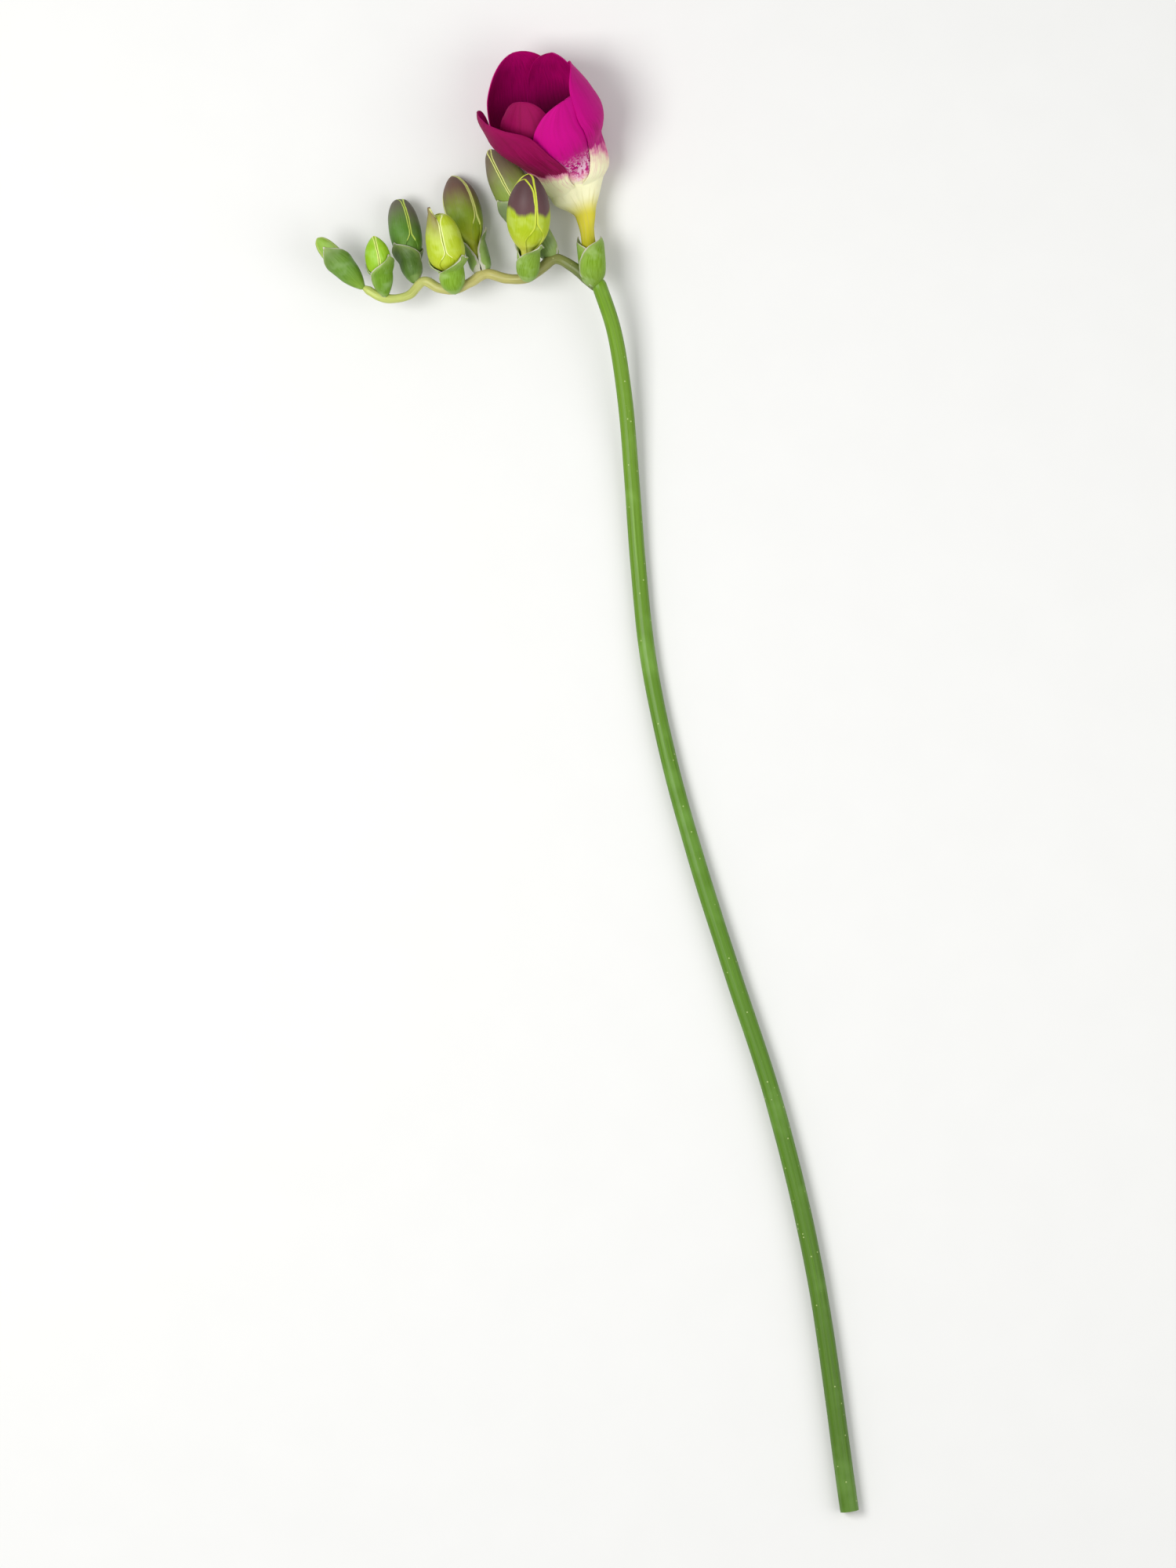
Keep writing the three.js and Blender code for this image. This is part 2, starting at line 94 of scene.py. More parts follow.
def clamp(value: float, low: float = 0.0, high: float = 1.0) -> float:
    """The value, held between low and high."""
    return min(max(value, low), high)


def smooth(value: float, low: float, high: float) -> float:
    """0 below low, 1 above high, and a smooth rise between them."""
    share = clamp((value - low) / (high - low))
    return share * share * (3 - 2 * share)


def bump(value: float, middle: float, reach: float) -> float:
    """1 at the middle, and a smooth fall to 0 at the given reach on either side of it."""
    return 1 - smooth(abs(value - middle), 0, reach)


def wave(value: float, seed: float) -> float:
    """A gentle irregular wave.

    Args:
        value: Where on the wave to look, in radians of its slowest part.
        seed: Sets the wave, which is the same for the same seed.

    Returns:
        A value between about -1 and 1.
    """
    slow = math.sin(value + 5.1 * seed)
    middle = math.sin(2.3 * value + 1.7 * seed)
    quick = math.sin(5.1 * value + 3.3 * seed)
    return 0.55 * slow + 0.3 * middle + 0.15 * quick


def crowded(row: float, power: float) -> float:
    """The share of a length at a share of its rows, which crowd towards the end."""
    return 1 - (1 - row) ** power


@dataclass(frozen=True)
class Station:
    """A place on a line, with the directions along it, upwards and to its side."""

    point: Vector
    along: Vector
    up: Vector
    side: Vector

    def beside(self, distance: float, angle: float, ahead: float = 0.0) -> Vector:
        """A point near the line.

        Args:
            distance: How far it is from the line.
            angle: Degrees from the upper side, positive towards the side direction.
            ahead: How far it is moved along the line's direction.

        Returns:
            The point.
        """
        turn = math.radians(angle)
        out = self.up * math.cos(turn) + self.side * math.sin(turn)
        return self.point + out * distance + self.along * ahead


def station(point: Vector, along: Vector) -> Station:
    """The station at a point of a line that runs in a direction."""
    up = (Vector((0, 0, 1)) - along * along.z).normalized()
    return Station(point, along, up, along.cross(up))


class Route:
    """A smooth line through given places: a centripetal Catmull-Rom curve, measured by its length."""

    STEPS = 24  # short straight steps from one place to the next
    LOOK = 0.3  # how far to either side of a point the line's direction there is taken

    def __init__(self, places: Sequence[Sequence[float]]) -> None:
        """Lays the line.

        Args:
            places: The places that it goes through, with two or three coordinates each.
        """
        points = [Vector((*place, 0.0)[:3]) for place in places]
        before = 2 * points[0] - points[1]
        after = 2 * points[-1] - points[-2]
        ends = [before, *points, after]
        self.line: list[Vector] = []
        for four in zip(ends, ends[1:], ends[2:], ends[3:]):
            self.line += [self._between(four, step / self.STEPS) for step in range(self.STEPS)]
        self.line.append(points[-1])
        self.reached = [0.0, *accumulate((b - a).length for a, b in pairwise(self.line))]
        self.length = self.reached[-1]

    @staticmethod
    def _between(four: tuple[Vector, Vector, Vector, Vector], share: float) -> Vector:
        """A point between the middle two of four places.

        Args:
            four: The places, in order.
            share: How far it is from the second to the third.

        Returns:
            The point.
        """
        a, b, c, d = four
        first, middle, last = (math.sqrt((q - p).length) for p, q in ((a, b), (b, c), (c, d)))
        leaving = ((b - a) / first - (c - a) / (first + middle) + (c - b) / middle) * middle
        arriving = ((c - b) / middle - (d - b) / (middle + last) + (d - c) / last) * middle
        square, cube = share * share, share**3
        line = b * (2 * cube - 3 * square + 1) + c * (3 * square - 2 * cube)
        return line + leaving * (cube - 2 * square + share) + arriving * (cube - square)

    def at(self, share: float) -> Vector:
        """A point of the line.

        Args:
            share: How far along the line it is, from 0 to 1.

        Returns:
            The point.
        """
        target = clamp(share) * self.length
        step = min(bisect_right(self.reached, target) - 1, len(self.line) - 2)
        rest = (target - self.reached[step]) / (self.reached[step + 1] - self.reached[step])
        return self.line[step].lerp(self.line[step + 1], rest)

    def station(self, share: float) -> Station:
        """A station of the line.

        Args:
            share: How far along the line it is, from 0 to 1.

        Returns:
            The station.
        """
        reach = self.LOOK / self.length
        along = self.at(share + reach) - self.at(share - reach)
        return station(self.at(share), along.normalized())


# ------------------------------------------------------------ meshes


class Clay:
    """A mesh in the making, built from sheets that are shaped round the lowest floret's node."""

    SEAM = 1e-4  # points closer than this are one point
    SHARP = 50.0  # faces that meet more steeply than this keep a crisp edge between them

    def __init__(self) -> None:
        """Starts an empty mesh with a UV map and one attribute for each mark."""
        self.mesh = bmesh.new()
        self.mesh.loops.layers.uv.new("UVMap")
        self.layers = {mark: self.mesh.verts.layers.float.new(mark.value) for mark in Mark}

    def _sheet(self, cells: Cells) -> list[bmesh.types.BMVert]:
        """Adds a flat unit sheet with its UV map.

        Args:
            cells: Faces across and along.

        Returns:
            Its points.
        """
        across, along = cells
        made = bmesh.ops.create_grid(self.mesh, x_segments=across, y_segments=along, size=0.5, calc_uvs=True)
        return made["verts"]

    def _shape(self, verts: list[bmesh.types.BMVert], face: float, place: Place, measure: Measure) -> None:
        """Moves a sheet's points to their places and marks them.

        Args:
            verts: The points.
            face: 0 for an inner face and 1 for an outer one.
            place: Gives a point for u from -1 to 1 across, v from 0 to 1 along and the face.
            measure: Gives the marks for u and v.
        """
        for vert in verts:
            u, v = 2 * vert.co.x, vert.co.y + 0.5
            vert.co = place(u, v, face)
            for mark, value in measure(u, v).items():
                vert[self.layers[mark]] = value
            vert[self.layers[Mark.FACE]] = face

    def blade(self, cells: Cells, place: Place, measure: Measure) -> None:
        """Adds a closed blade with an inner and an outer face.

        Args:
            cells: Faces across and along.
            place: Gives a point for u from -1 to 1 across, v from 0 to 1 along and face 0 or 1.
            measure: Gives the marks for u and v.
        """
        inner = self._sheet(cells)
        edges = {edge for vert in inner for edge in vert.link_edges}
        faces = {face for vert in inner for face in vert.link_faces}
        made = bmesh.ops.extrude_face_region(self.mesh, geom=[*inner, *edges, *faces], use_keep_orig=True)
        outer = [item for item in made["geom"] if isinstance(item, bmesh.types.BMVert)]
        self._shape(inner, 0.0, place, measure)
        self._shape(outer, 1.0, place, measure)

    def tube(self, cells: Cells, place: Place, measure: Measure) -> None:
        """Adds a closed skin round a line, whose first and last rings shrink to a point or meet each other.

        Args:
            cells: Faces round and along.
            place: Gives a point for u from -1 to 1 round, v from 0 to 1 along and face 1.
            measure: Gives the marks for u and v.
        """
        verts = self._sheet(cells)
        self._shape(verts, 1.0, place, measure)
        bmesh.ops.remove_doubles(self.mesh, verts=verts, dist=self.SEAM)

    def finish(self, name: str, material: bpy.types.Material, slot: str, *nodes: str) -> None:
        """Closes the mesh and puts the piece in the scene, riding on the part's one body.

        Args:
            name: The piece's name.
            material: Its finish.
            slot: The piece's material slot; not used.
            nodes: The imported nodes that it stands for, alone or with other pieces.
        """
        mesh = self.mesh
        bmesh.ops.recalc_face_normals(mesh, faces=mesh.faces[:])
        bmesh.ops.translate(mesh, verts=mesh.verts[:], vec=FIRST_NODE)
        bmesh.ops.scale(mesh, verts=mesh.verts[:], vec=Vector((METRES, METRES, METRES)))
        for face in mesh.faces:
            face.smooth = True
        data = bpy.data.meshes.new(name)
        mesh.to_mesh(data)
        mesh.free()
        data.set_sharp_from_angle(angle=math.radians(self.SHARP))
        data.materials.append(material)
        piece = bpy.data.objects.new(name, data)
        bpy.context.scene.collection.objects.link(piece)
        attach(piece, "root")
        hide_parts(*nodes)
        log.info("%s: %d faces, for %s", name, len(data.polygons), ", ".join(nodes))


# ------------------------------------------------------------ finishes


def linear(colour: Colour) -> tuple[float, float, float, float]:
    """An sRGB colour as the linear colour with alpha that nodes take."""
    shares = (channel / 255 for channel in colour)
    return (*(c / 12.92 if c <= 0.04045 else ((c + 0.055) / 1.055) ** 2.4 for c in shares), 1.0)


class Wiring:
    """Short ways to add nodes to one tree and join them."""

    def __init__(self, tree: bpy.types.NodeTree) -> None:
        """Keeps the tree that the nodes go into."""
        self.tree = tree

    def node(self, kind: str, settings: dict[str, object] | None = None, **inputs: object) -> bpy.types.Node:
        """Adds a node.

        Args:
            kind: The node's type, without the "ShaderNode" that it starts with.
            settings: The node's own properties.
            inputs: Its inputs by name, with _ for a space, each a number, a colour or a socket to join.

        Returns:
            The node.
        """
        made = self.tree.nodes.new(f"ShaderNode{kind}")
        for name, value in (settings or {}).items():
            setattr(made, name, value)
        for name, value in inputs.items():
            self.feed(made.inputs[name.replace("_", " ")], value)
        return made

    def feed(self, socket: Socket, value: object) -> None:
        """Joins a socket to another one, or sets its value.

        Args:
            socket: The input socket.
            value: A number, a colour or an output socket.
        """
        if isinstance(value, Socket):
            self.tree.links.new(value, socket)
        else:
            socket.default_value = value

    def math(self, operation: str, first: object, second: object) -> Socket:
        """A sum of two values, or another result.

        Args:
            operation: The operation's name, such as ADD or MAXIMUM.
            first: The first value.
            second: The second value.

        Returns:
            The result.
        """
        made = self.node("Math", {"operation": operation})
        self.feed(made.inputs[0], first)
        self.feed(made.inputs[1], second)
        return made.outputs[0]

    def plus(self, first: object, second: object) -> Socket:
        """The sum of two values."""
        return self.math("ADD", first, second)

    def times(self, first: object, second: object) -> Socket:
        """The product of two values."""
        return self.math("MULTIPLY", first, second)

    def step(self, value: object, low: float, high: float) -> Socket:
        """A mask that rises or falls smoothly.

        Args:
            value: The value that it follows.
            low: Where it is 0.
            high: Where it is 1, above or below the first.

        Returns:
            The mask.
        """
        settings = {"interpolation_type": "SMOOTHSTEP"}
        made = self.node("MapRange", settings, Value=value, From_Min=low, From_Max=high)
        return made.outputs["Result"]

    def mix(self, mask: object, first: object, second: object) -> Socket:
        """A colour between two.

        Args:
            mask: How much of the second one there is, from 0 to 1.
            first: The first colour.
            second: The second colour.

        Returns:
            The colour.
        """
        made = self.node("Mix", {"data_type": "RGBA"}, Factor=mask)
        first_colour, second_colour = made.inputs[6], made.inputs[7]  # those before them are for numbers
        self.feed(first_colour, first)
        self.feed(second_colour, second)
        return made.outputs[2]

    def tone(self, colour: object, value: float, saturation: float = 1.0) -> Socket:
        """A colour with its brightness and its strength multiplied."""
        return self.node("HueSaturation", Color=colour, Value=value, Saturation=saturation).outputs["Color"]

    def mark(self, mark: Mark) -> Socket:
        """A mark of the mesh."""
        return self.node("Attribute", {"attribute_name": mark.value}).outputs["Fac"]

    def place(self) -> Socket:
        """The place on the object, in metres."""
        return self.node("TexCoord").outputs["Object"]

    def noise(self, vector: object, scale: object, detail: float) -> Socket:
        """Noise from 0 to 1."""
        return self.node("TexNoise", Vector=vector, Scale=scale, Detail=detail).outputs["Fac"]

    def swing(self, vector: object, scale: float, detail: float) -> Socket:
        """Noise from -0.5 to 0.5."""
        return self.plus(self.noise(vector, scale, detail), -0.5)

    def give(self, **results: Socket) -> None:
        """Joins a group's outputs.

        Args:
            results: What goes to each of them, by name.
        """
        end = self.tree.nodes.new("NodeGroupOutput")
        for name, socket in results.items():
            self.feed(end.inputs[name], socket)

    def surface(self, shader: bpy.types.Node) -> None:
        """Makes a shader the material's surface."""
        end = self.tree.nodes.new("ShaderNodeOutputMaterial")
        self.feed(end.inputs["Surface"], shader.outputs["BSDF"])


def new_group(name: str, inputs: Sequence[str], outputs: Sequence[str]) -> Wiring:
    """An empty shader node group whose sockets are all numbers.

    Args:
        name: The group's name.
        inputs: Each input's name.
        outputs: Each output's name.

    Returns:
        The wiring for its nodes.
    """
    tree = bpy.data.node_groups.new(name, "ShaderNodeTree")
    for way, labels in (("INPUT", inputs), ("OUTPUT", outputs)):
        for label in labels:
            tree.interface.new_socket(name=label, in_out=way, socket_type="NodeSocketFloat")
    return Wiring(tree)


class Effects:
    """The node groups that several finishes share, each built once."""

    def __init__(self) -> None:
        """Builds every group."""
        self._veins = self._vein_group()
        self._band = self._band_group()
        self._spots = self._spot_group()

    @staticmethod
    def _vein_group() -> bpy.types.NodeTree:
        """Builds the veins that run along an organ, from its UV map.

        Returns:
            The group, which gives fine and broad veins.
        """
        wiring = new_group("veins along", ("Across", "Along"), ("Fine", "Broad"))
        given = wiring.tree.nodes.new("NodeGroupInput").outputs
        scale = wiring.node("CombineXYZ", X=given["Across"], Y=given["Along"], Z=1.0)
        stretched = wiring.node("VectorMath", {"operation": "MULTIPLY"})
        wiring.feed(stretched.inputs[0], wiring.node("UVMap", {"uv_map": "UVMap"}).outputs["UV"])
        wiring.feed(stretched.inputs[1], scale.outputs["Vector"])
        along = stretched.outputs["Vector"]
        fine = wiring.noise(along, scale=4.0, detail=3.0)
        wiring.give(Fine=fine, Broad=wiring.noise(along, scale=1.0, detail=1.0))
        return wiring.tree

    @staticmethod
    def _band_group() -> bpy.types.NodeTree:
        """Builds a thin band along a blade's free margin, with an uneven inner side.

        Returns:
            The group, which gives a mask.
        """
        wiring = new_group("margin band", ("Width", "Unevenness"), ("Mask",))
        given = wiring.tree.nodes.new("NodeGroupInput").outputs
        shift = wiring.times(wiring.swing(wiring.place(), scale=900.0, detail=2.0), given["Unevenness"])
        share = wiring.math("DIVIDE", wiring.plus(wiring.mark(Mark.EDGE), shift), given["Width"])
        wiring.give(Mask=wiring.step(share, 1.25, 0.75))
        return wiring.tree

    @staticmethod
    def _spot_group() -> bpy.types.NodeTree:
        """Builds soft patches and tiny specks, from the object's coordinates.

        Returns:
            The group, which gives patches and a mask for the specks.
        """
        wiring = new_group("patches and specks", ("Patch", "Speck"), ("Patches", "Specks"))
        given = wiring.tree.nodes.new("NodeGroupInput").outputs
        spot = wiring.place()
        cells = wiring.node("TexVoronoi", Vector=spot, Scale=given["Speck"])
        specks = wiring.step(cells.outputs["Distance"], 0.11, 0.05)
        wiring.give(Patches=wiring.noise(spot, scale=given["Patch"], detail=2.0), Specks=specks)
        return wiring.tree

    def veins(self, wiring: Wiring, across: float, along: float) -> tuple[Socket, Socket]:
        """Veins that run along an organ.

        Args:
            wiring: The material's wiring.
            across: How many veins lie side by side.
            along: How often they change from the foot to the tip.

        Returns:
            The fine and the broad veins, each from 0 to 1.
        """
        made = wiring.node("Group", {"node_tree": self._veins}, Across=across, Along=along)
        return made.outputs["Fine"], made.outputs["Broad"]

    def band(self, wiring: Wiring, width: float, unevenness: float) -> Socket:
        """A mask for a blade's free margin.

        Args:
            wiring: The material's wiring.
            width: The band's width.
            unevenness: How far its inner side wanders.

        Returns:
            The mask.
        """
        settings = {"node_tree": self._band}
        return wiring.node("Group", settings, Width=width, Unevenness=unevenness).outputs["Mask"]

    def spots(self, wiring: Wiring, patch: float, speck: float) -> tuple[Socket, Socket]:
        """Soft patches and tiny specks.

        Args:
            wiring: The material's wiring.
            patch: How many patches there are in a metre.
            speck: How many specks there may be in a metre.

        Returns:
            The patches, from 0 to 1, and a mask for the specks.
        """
        made = wiring.node("Group", {"node_tree": self._spots}, Patch=patch, Speck=speck)
        return made.outputs["Patches"], made.outputs["Specks"]


@dataclass(frozen=True)
class Skin:
    """The gloss and softness that every plant finish ends in."""

    roughness: float = 0.42  # from 0, a mirror, to 1, chalk
    softness: float = 0.12  # how much light goes through the surface
    specular: float = 0.45  # the strength of the gloss
    relief: float = 0.00005  # the depth of the veins, in metres
    relief_strength: float = 0.6
    scatter: Triple = (1.0, 0.7, 0.35)  # how far red, green and blue light spread inside
    scatter_scale: float = 0.0012  # metres

    def close(self, wiring: Wiring, colour: Socket, height: Socket) -> None:
        """Feeds a colour and a height into the surface shader.

        Args:
            wiring: The material's wiring.
            colour: The colour over the surface.
            height: The height of the relief over the surface.
        """
        relief = wiring.node("Bump", Height=height, Distance=self.relief, Strength=self.relief_strength)
        shader = wiring.node("BsdfPrincipled", Base_Color=colour, Normal=relief.outputs["Normal"])
        values = {
            "Roughness": self.roughness,
            "Specular IOR Level": self.specular,
            "Subsurface Weight": self.softness,
            "Subsurface Radius": self.scatter,
            "Subsurface Scale": self.scatter_scale,
        }
        for name, value in values.items():
            shader.inputs[name].default_value = value
        wiring.surface(shader)


def new_material(name: str) -> tuple[bpy.types.Material, Wiring]:
    """Makes an empty node material.

    Args:
        name: The material's name.

    Returns:
        The material, and the wiring for its nodes.
    """
    material = bpy.data.materials.new(name)
    material.use_nodes = True
    material.node_tree.nodes.clear()
    return material, Wiring(material.node_tree)


class Finish:
    """What the plant finishes share. Each one has a skin, and a paint method that gives its colour."""

    skin: Skin

    def paint(self, wiring: Wiring, effects: Effects) -> tuple[Socket, Socket]:
        """Adds the nodes of the colour.

        Args:
            wiring: The material's wiring.
            effects: The shared node groups.

        Returns:
            The colour, and the height of the relief.
        """
        raise NotImplementedError

    def build(self, name: str, effects: Effects) -> bpy.types.Material:
        """The finish as a material.

        Args:
            name: The material's name.
            effects: The shared node groups.

        Returns:
            The material.
        """
        material, wiring = new_material(name)
        self.skin.close(wiring, *self.paint(wiring, effects))
        return material


@dataclass(frozen=True)
class StalkFinish(Finish):
    """The stem's and the rachis's green skin, which changes from one end to the other."""

    start: Colour
    middle: Colour
    end: Colour
    ribs: float = 26.0
    speck: Colour = (206, 219, 150)
    pith: Colour = (176, 178, 120)
    pith_ray: Colour = (146, 140, 96)
    skin: Skin = Skin(roughness=0.4, specular=0.35)

    def paint(self, wiring: Wiring, effects: Effects) -> tuple[Socket, Socket]:
        """Adds the green from end to end, its darker ribs and pale specks, and the pith of the cut.

        Args:
            wiring: The material's wiring.
            effects: The shared node groups.

        Returns:
            The colour, and the height of the relief.
        """
        rise = wiring.mark(Mark.RISE)
        lower = wiring.mix(wiring.step(rise, 0.05, 0.5), linear(self.start), linear(self.middle))
        base = wiring.mix(wiring.step(rise, 0.55, 0.97), lower, linear(self.end))
        fine, broad = effects.veins(wiring, across=self.ribs, along=3.0)
        patches, specks = effects.spots(wiring, patch=90.0, speck=420.0)
        striped = wiring.mix(wiring.step(fine, 0.35, 0.68), wiring.tone(base, 0.72, 1.05), base)
        patchy = wiring.mix(wiring.step(patches, 0.5, 0.75), striped, wiring.tone(base, 1.14, 0.92))
        green = wiring.mix(wiring.times(specks, 0.55), patchy, linear(self.speck))
        pith = wiring.mix(broad, linear(self.pith), linear(self.pith_ray))
        return wiring.mix(wiring.step(wiring.mark(Mark.FLUSH), 0.2, 0.7), green, pith), fine


@dataclass(frozen=True)
class BractFinish(Finish):
    """A bract's green blade with fine parallel veins and a thin papery margin."""

    foot: Colour
    blade: Colour
    tip: Colour
    speck: Colour = (190, 205, 140)
    faded: Colour = (165, 188, 112)
    margin: Colour = (205, 208, 186)
    withered: Colour = (168, 160, 140)
    margin_width: float = 0.44
    skin: Skin = Skin(roughness=0.5, specular=0.28, relief=0.00008)

    def paint(self, wiring: Wiring, effects: Effects) -> tuple[Socket, Socket]:
        """Adds the green from foot to tip, its veins and specks, and the paler and papery margin.

        Args:
            wiring: The material's wiring.
            effects: The shared node groups.

        Returns:
            The colour, and the height of the relief.
        """
        rise = wiring.mark(Mark.RISE)
        lower = wiring.mix(wiring.step(rise, 0.0, 0.45), linear(self.foot), linear(self.blade))
        base = wiring.mix(wiring.step(rise, 0.55, 1.0), lower, linear(self.tip))
        fine, broad = effects.veins(wiring, across=20.0, along=1.2)
        patches, specks = effects.spots(wiring, patch=240.0, speck=700.0)
        striped = wiring.mix(wiring.step(fine, 0.34, 0.6), wiring.tone(base, 0.74, 1.08), base)
        patchy = wiring.mix(wiring.step(patches, 0.48, 0.75), striped, wiring.tone(base, 1.22, 0.8))
        green = wiring.mix(wiring.times(specks, 0.2), patchy, linear(self.speck))
        fading = wiring.times(wiring.step(wiring.mark(Mark.EDGE), 2.6, 0.3), 0.45)
        faded = wiring.mix(fading, green, linear(self.faded))
        papery = wiring.mix(broad, linear(self.margin), linear(self.withered))
        return wiring.mix(effects.band(wiring, self.margin_width, unevenness=0.5), faded, papery), fine


@dataclass(frozen=True)
class BudFinish(Finish):
    """A bud's outer tepals: yellow at the foot, green on the body, flushed above, with a cream margin."""

    foot: Colour
    body: Colour
    flush: Colour
    margin: Colour = (212, 218, 128)
    margin_width: float = 0.26
    blend: float = 0.22  # how softly the flush ends, as a share of the bud's length
    skin: Skin = Skin(roughness=0.48, specular=0.26, relief=0.00005)

    def paint(self, wiring: Wiring, effects: Effects) -> tuple[Socket, Socket]:
        """Adds the green from the foot up, the dusky flush above it and the pale margins.

        Args:
            wiring: The material's wiring.
            effects: The shared node groups.

        Returns:
            The colour, and the height of the relief.
        """
        rise = wiring.mark(Mark.RISE)
        base = wiring.mix(wiring.step(rise, 0.12, 0.5), linear(self.foot), linear(self.body))
        fine, _ = effects.veins(wiring, across=14.0, along=1.0)
        patches, _ = effects.spots(wiring, patch=260.0, speck=600.0)
        green = wiring.mix(wiring.step(patches, 0.42, 0.7), base, wiring.tone(base, 1.15, 0.88))
        striped = wiring.mix(wiring.step(fine, 0.3, 0.55), wiring.tone(green, 0.86, 1.08), green)
        ragged = wiring.times(wiring.plus(fine, -0.5), self.blend)
        reach = wiring.plus(wiring.mark(Mark.FLUSH), ragged)
        dusk = wiring.tone(linear(self.flush), 1.3)
        deep = wiring.mix(wiring.step(reach, 0.0, 0.3), dusk, linear(self.flush))
        flushed = wiring.mix(wiring.step(reach, -self.blend, self.blend), striped, deep)
        band = effects.band(wiring, self.margin_width, unevenness=0.2)
        return wiring.mix(band, flushed, linear(self.margin)), fine


@dataclass(frozen=True)
class PetalHue:
    """The outer colour of a tepal, and the darker one of its veins."""

    petal: Colour
    shade: Colour


@dataclass(frozen=True)
class PetalFinish(Finish):
    """The bloom's tube and tepals: yellow below, cream at the throat and red above, darker inside, with
    painted shade deep in the cup.
    """

    hue: PetalHue
    tube_foot: Colour = (167, 166, 30)
    tube: Colour = (206, 196, 62)
    tube_line: Colour = (190, 180, 96)
    throat: Colour = (240, 237, 196)
    pink: Colour = (214, 120, 160)
    frost: Colour = (238, 208, 224)
    inside: Colour = (180, 0, 106)
    # painted shade: the dark red deep in the cup, which the inner veins also darken towards
    deep: Colour = (84, 0, 44)
    skin: Skin = Skin(roughness=0.65, softness=0.1, specular=0.1, relief=0.00006)

    def paint(self, wiring: Wiring, effects: Effects) -> tuple[Socket, Socket]:
        """Adds the cream tube and throat, then the outer and the inner red above it, with painted shade deep
        in the cup.

        Args:
            wiring: The material's wiring.
            effects: The shared node groups.

        Returns:
            The colour, and the height of the relief.
        """
        rise = wiring.mark(Mark.RISE)
        veins, streaks = effects.veins(wiring, across=16.0, along=1.6)
        fine = wiring.plus(veins, -0.5)
        cloud = wiring.swing(wiring.place(), scale=320.0, detail=3.0)
        wander = wiring.plus(wiring.times(fine, 5.0), wiring.times(cloud, 8.0))
        reach = wiring.plus(wiring.mark(Mark.FLUSH), wander)
        cream = self._cream(wiring, rise, fine)
        outer = self._outer(wiring, reach, fine, wiring.plus(streaks, -0.5), cream)
        frosted = wiring.mix(self._mist(wiring, reach, cloud), outer, linear(self.frost))
        # painted shade: the inner face darkens towards the bottom of the cup, and its veins take the same
        # dark red
        lit = wiring.mix(wiring.step(rise, 42.0, 56.0), linear(self.deep), linear(self.inside))
        veined = wiring.mix(wiring.times(wiring.step(fine, 0.2, -0.3), 0.45), lit, linear(self.deep))
        inner = wiring.mix(wiring.step(reach, -1.0, 3.0), cream, veined)
        return wiring.mix(wiring.mark(Mark.FACE), inner, frosted), veins

    def _cream(self, wiring: Wiring, rise: Socket, fine: Socket) -> Socket:
        """The colour of the tube and throat.

        Args:
            wiring: The material's wiring.
            rise: Millimetres along the centre line.
            fine: The fine veins, from -0.5 to 0.5.

        Returns:
            The colour, from the yellow foot to the cream throat, with fine lines on the tube.
        """
        yellow = wiring.mix(wiring.step(rise, 8.0, 19.0), linear(self.tube_foot), linear(self.tube))
        pale = wiring.mix(wiring.step(rise, 18.5, 25.0), yellow, linear(self.throat))
        lined = wiring.mix(wiring.step(fine, 0.02, 0.16), pale, linear(self.tube_line))
        return wiring.mix(wiring.times(wiring.step(rise, 30.0, 16.0), 0.75), pale, lined)

    def _outer(self, wiring: Wiring, reach: Socket, fine: Socket, broad: Socket, cream: Socket) -> Socket:
        """The colour of a tepal's outer face.

        Args:
            wiring: The material's wiring.
            reach: Millimetres above the place where cream turns to red.
            fine: The fine veins, from -0.5 to 0.5.
            broad: The broad veins, from -0.5 to 0.5.
            cream: The colour below that place.

        Returns:
            The colour, with a pink blush between cream and red.
        """
        dotted = wiring.times(wiring.step(fine, 0.0, 0.16), wiring.step(reach, -10.0, -4.0))
        pinkness = wiring.math("MAXIMUM", wiring.step(reach, -5.0, 0.5), wiring.times(dotted, 0.6))
        blush = wiring.mix(pinkness, cream, linear(self.pink))
        low = wiring.times(wiring.step(fine, 0.12, -0.2), wiring.step(reach, 18.0, 3.0))
        shaded = wiring.plus(low, wiring.times(wiring.step(broad, 0.1, -0.2), 0.35))
        red = wiring.mix(shaded, linear(self.hue.petal), linear(self.hue.shade))
        return wiring.mix(wiring.step(reach, -0.8, 1.4), blush, red)

    @staticmethod
    def _mist(wiring: Wiring, reach: Socket, cloud: Socket) -> Socket:
        """A mask for the fine pale speckles just above the cream, where the mesh's frost mark allows them.

        Args:
            wiring: The material's wiring.
            reach: Millimetres above the place where cream turns to red.
            cloud: Soft clouds, from -0.5 to 0.5.

        Returns:
            The mask.
        """
        speckle = wiring.times(wiring.swing(wiring.place(), scale=1500.0, detail=2.0), 1.2)
        haze = wiring.step(wiring.plus(cloud, speckle), -0.14, 0.16)
        return wiring.times(wiring.times(haze, wiring.step(reach, 11.0, 3.0)), wiring.mark(Mark.FROST))


@dataclass(frozen=True)
class PlainFinish(Finish):
    """A small pale organ with a soft uneven tone."""

    lower: Colour
    upper: Colour
    skin: Skin = Skin(roughness=0.6)

    def paint(self, wiring: Wiring, effects: Effects) -> tuple[Socket, Socket]:
        """Adds the two colours and the darker patches.

        Args:
            wiring: The material's wiring.
            effects: The shared node groups.

        Returns:
            The colour, and the height of the relief.
        """
        patches, _ = effects.spots(wiring, patch=1500.0, speck=3000.0)
        rise = wiring.step(wiring.mark(Mark.RISE), 0.55, 0.7)
        base = wiring.mix(rise, linear(self.lower), linear(self.upper))
        return wiring.mix(patches, base, wiring.tone(base, 0.8)), patches


# ------------------------------------------------------------ stem and rachis


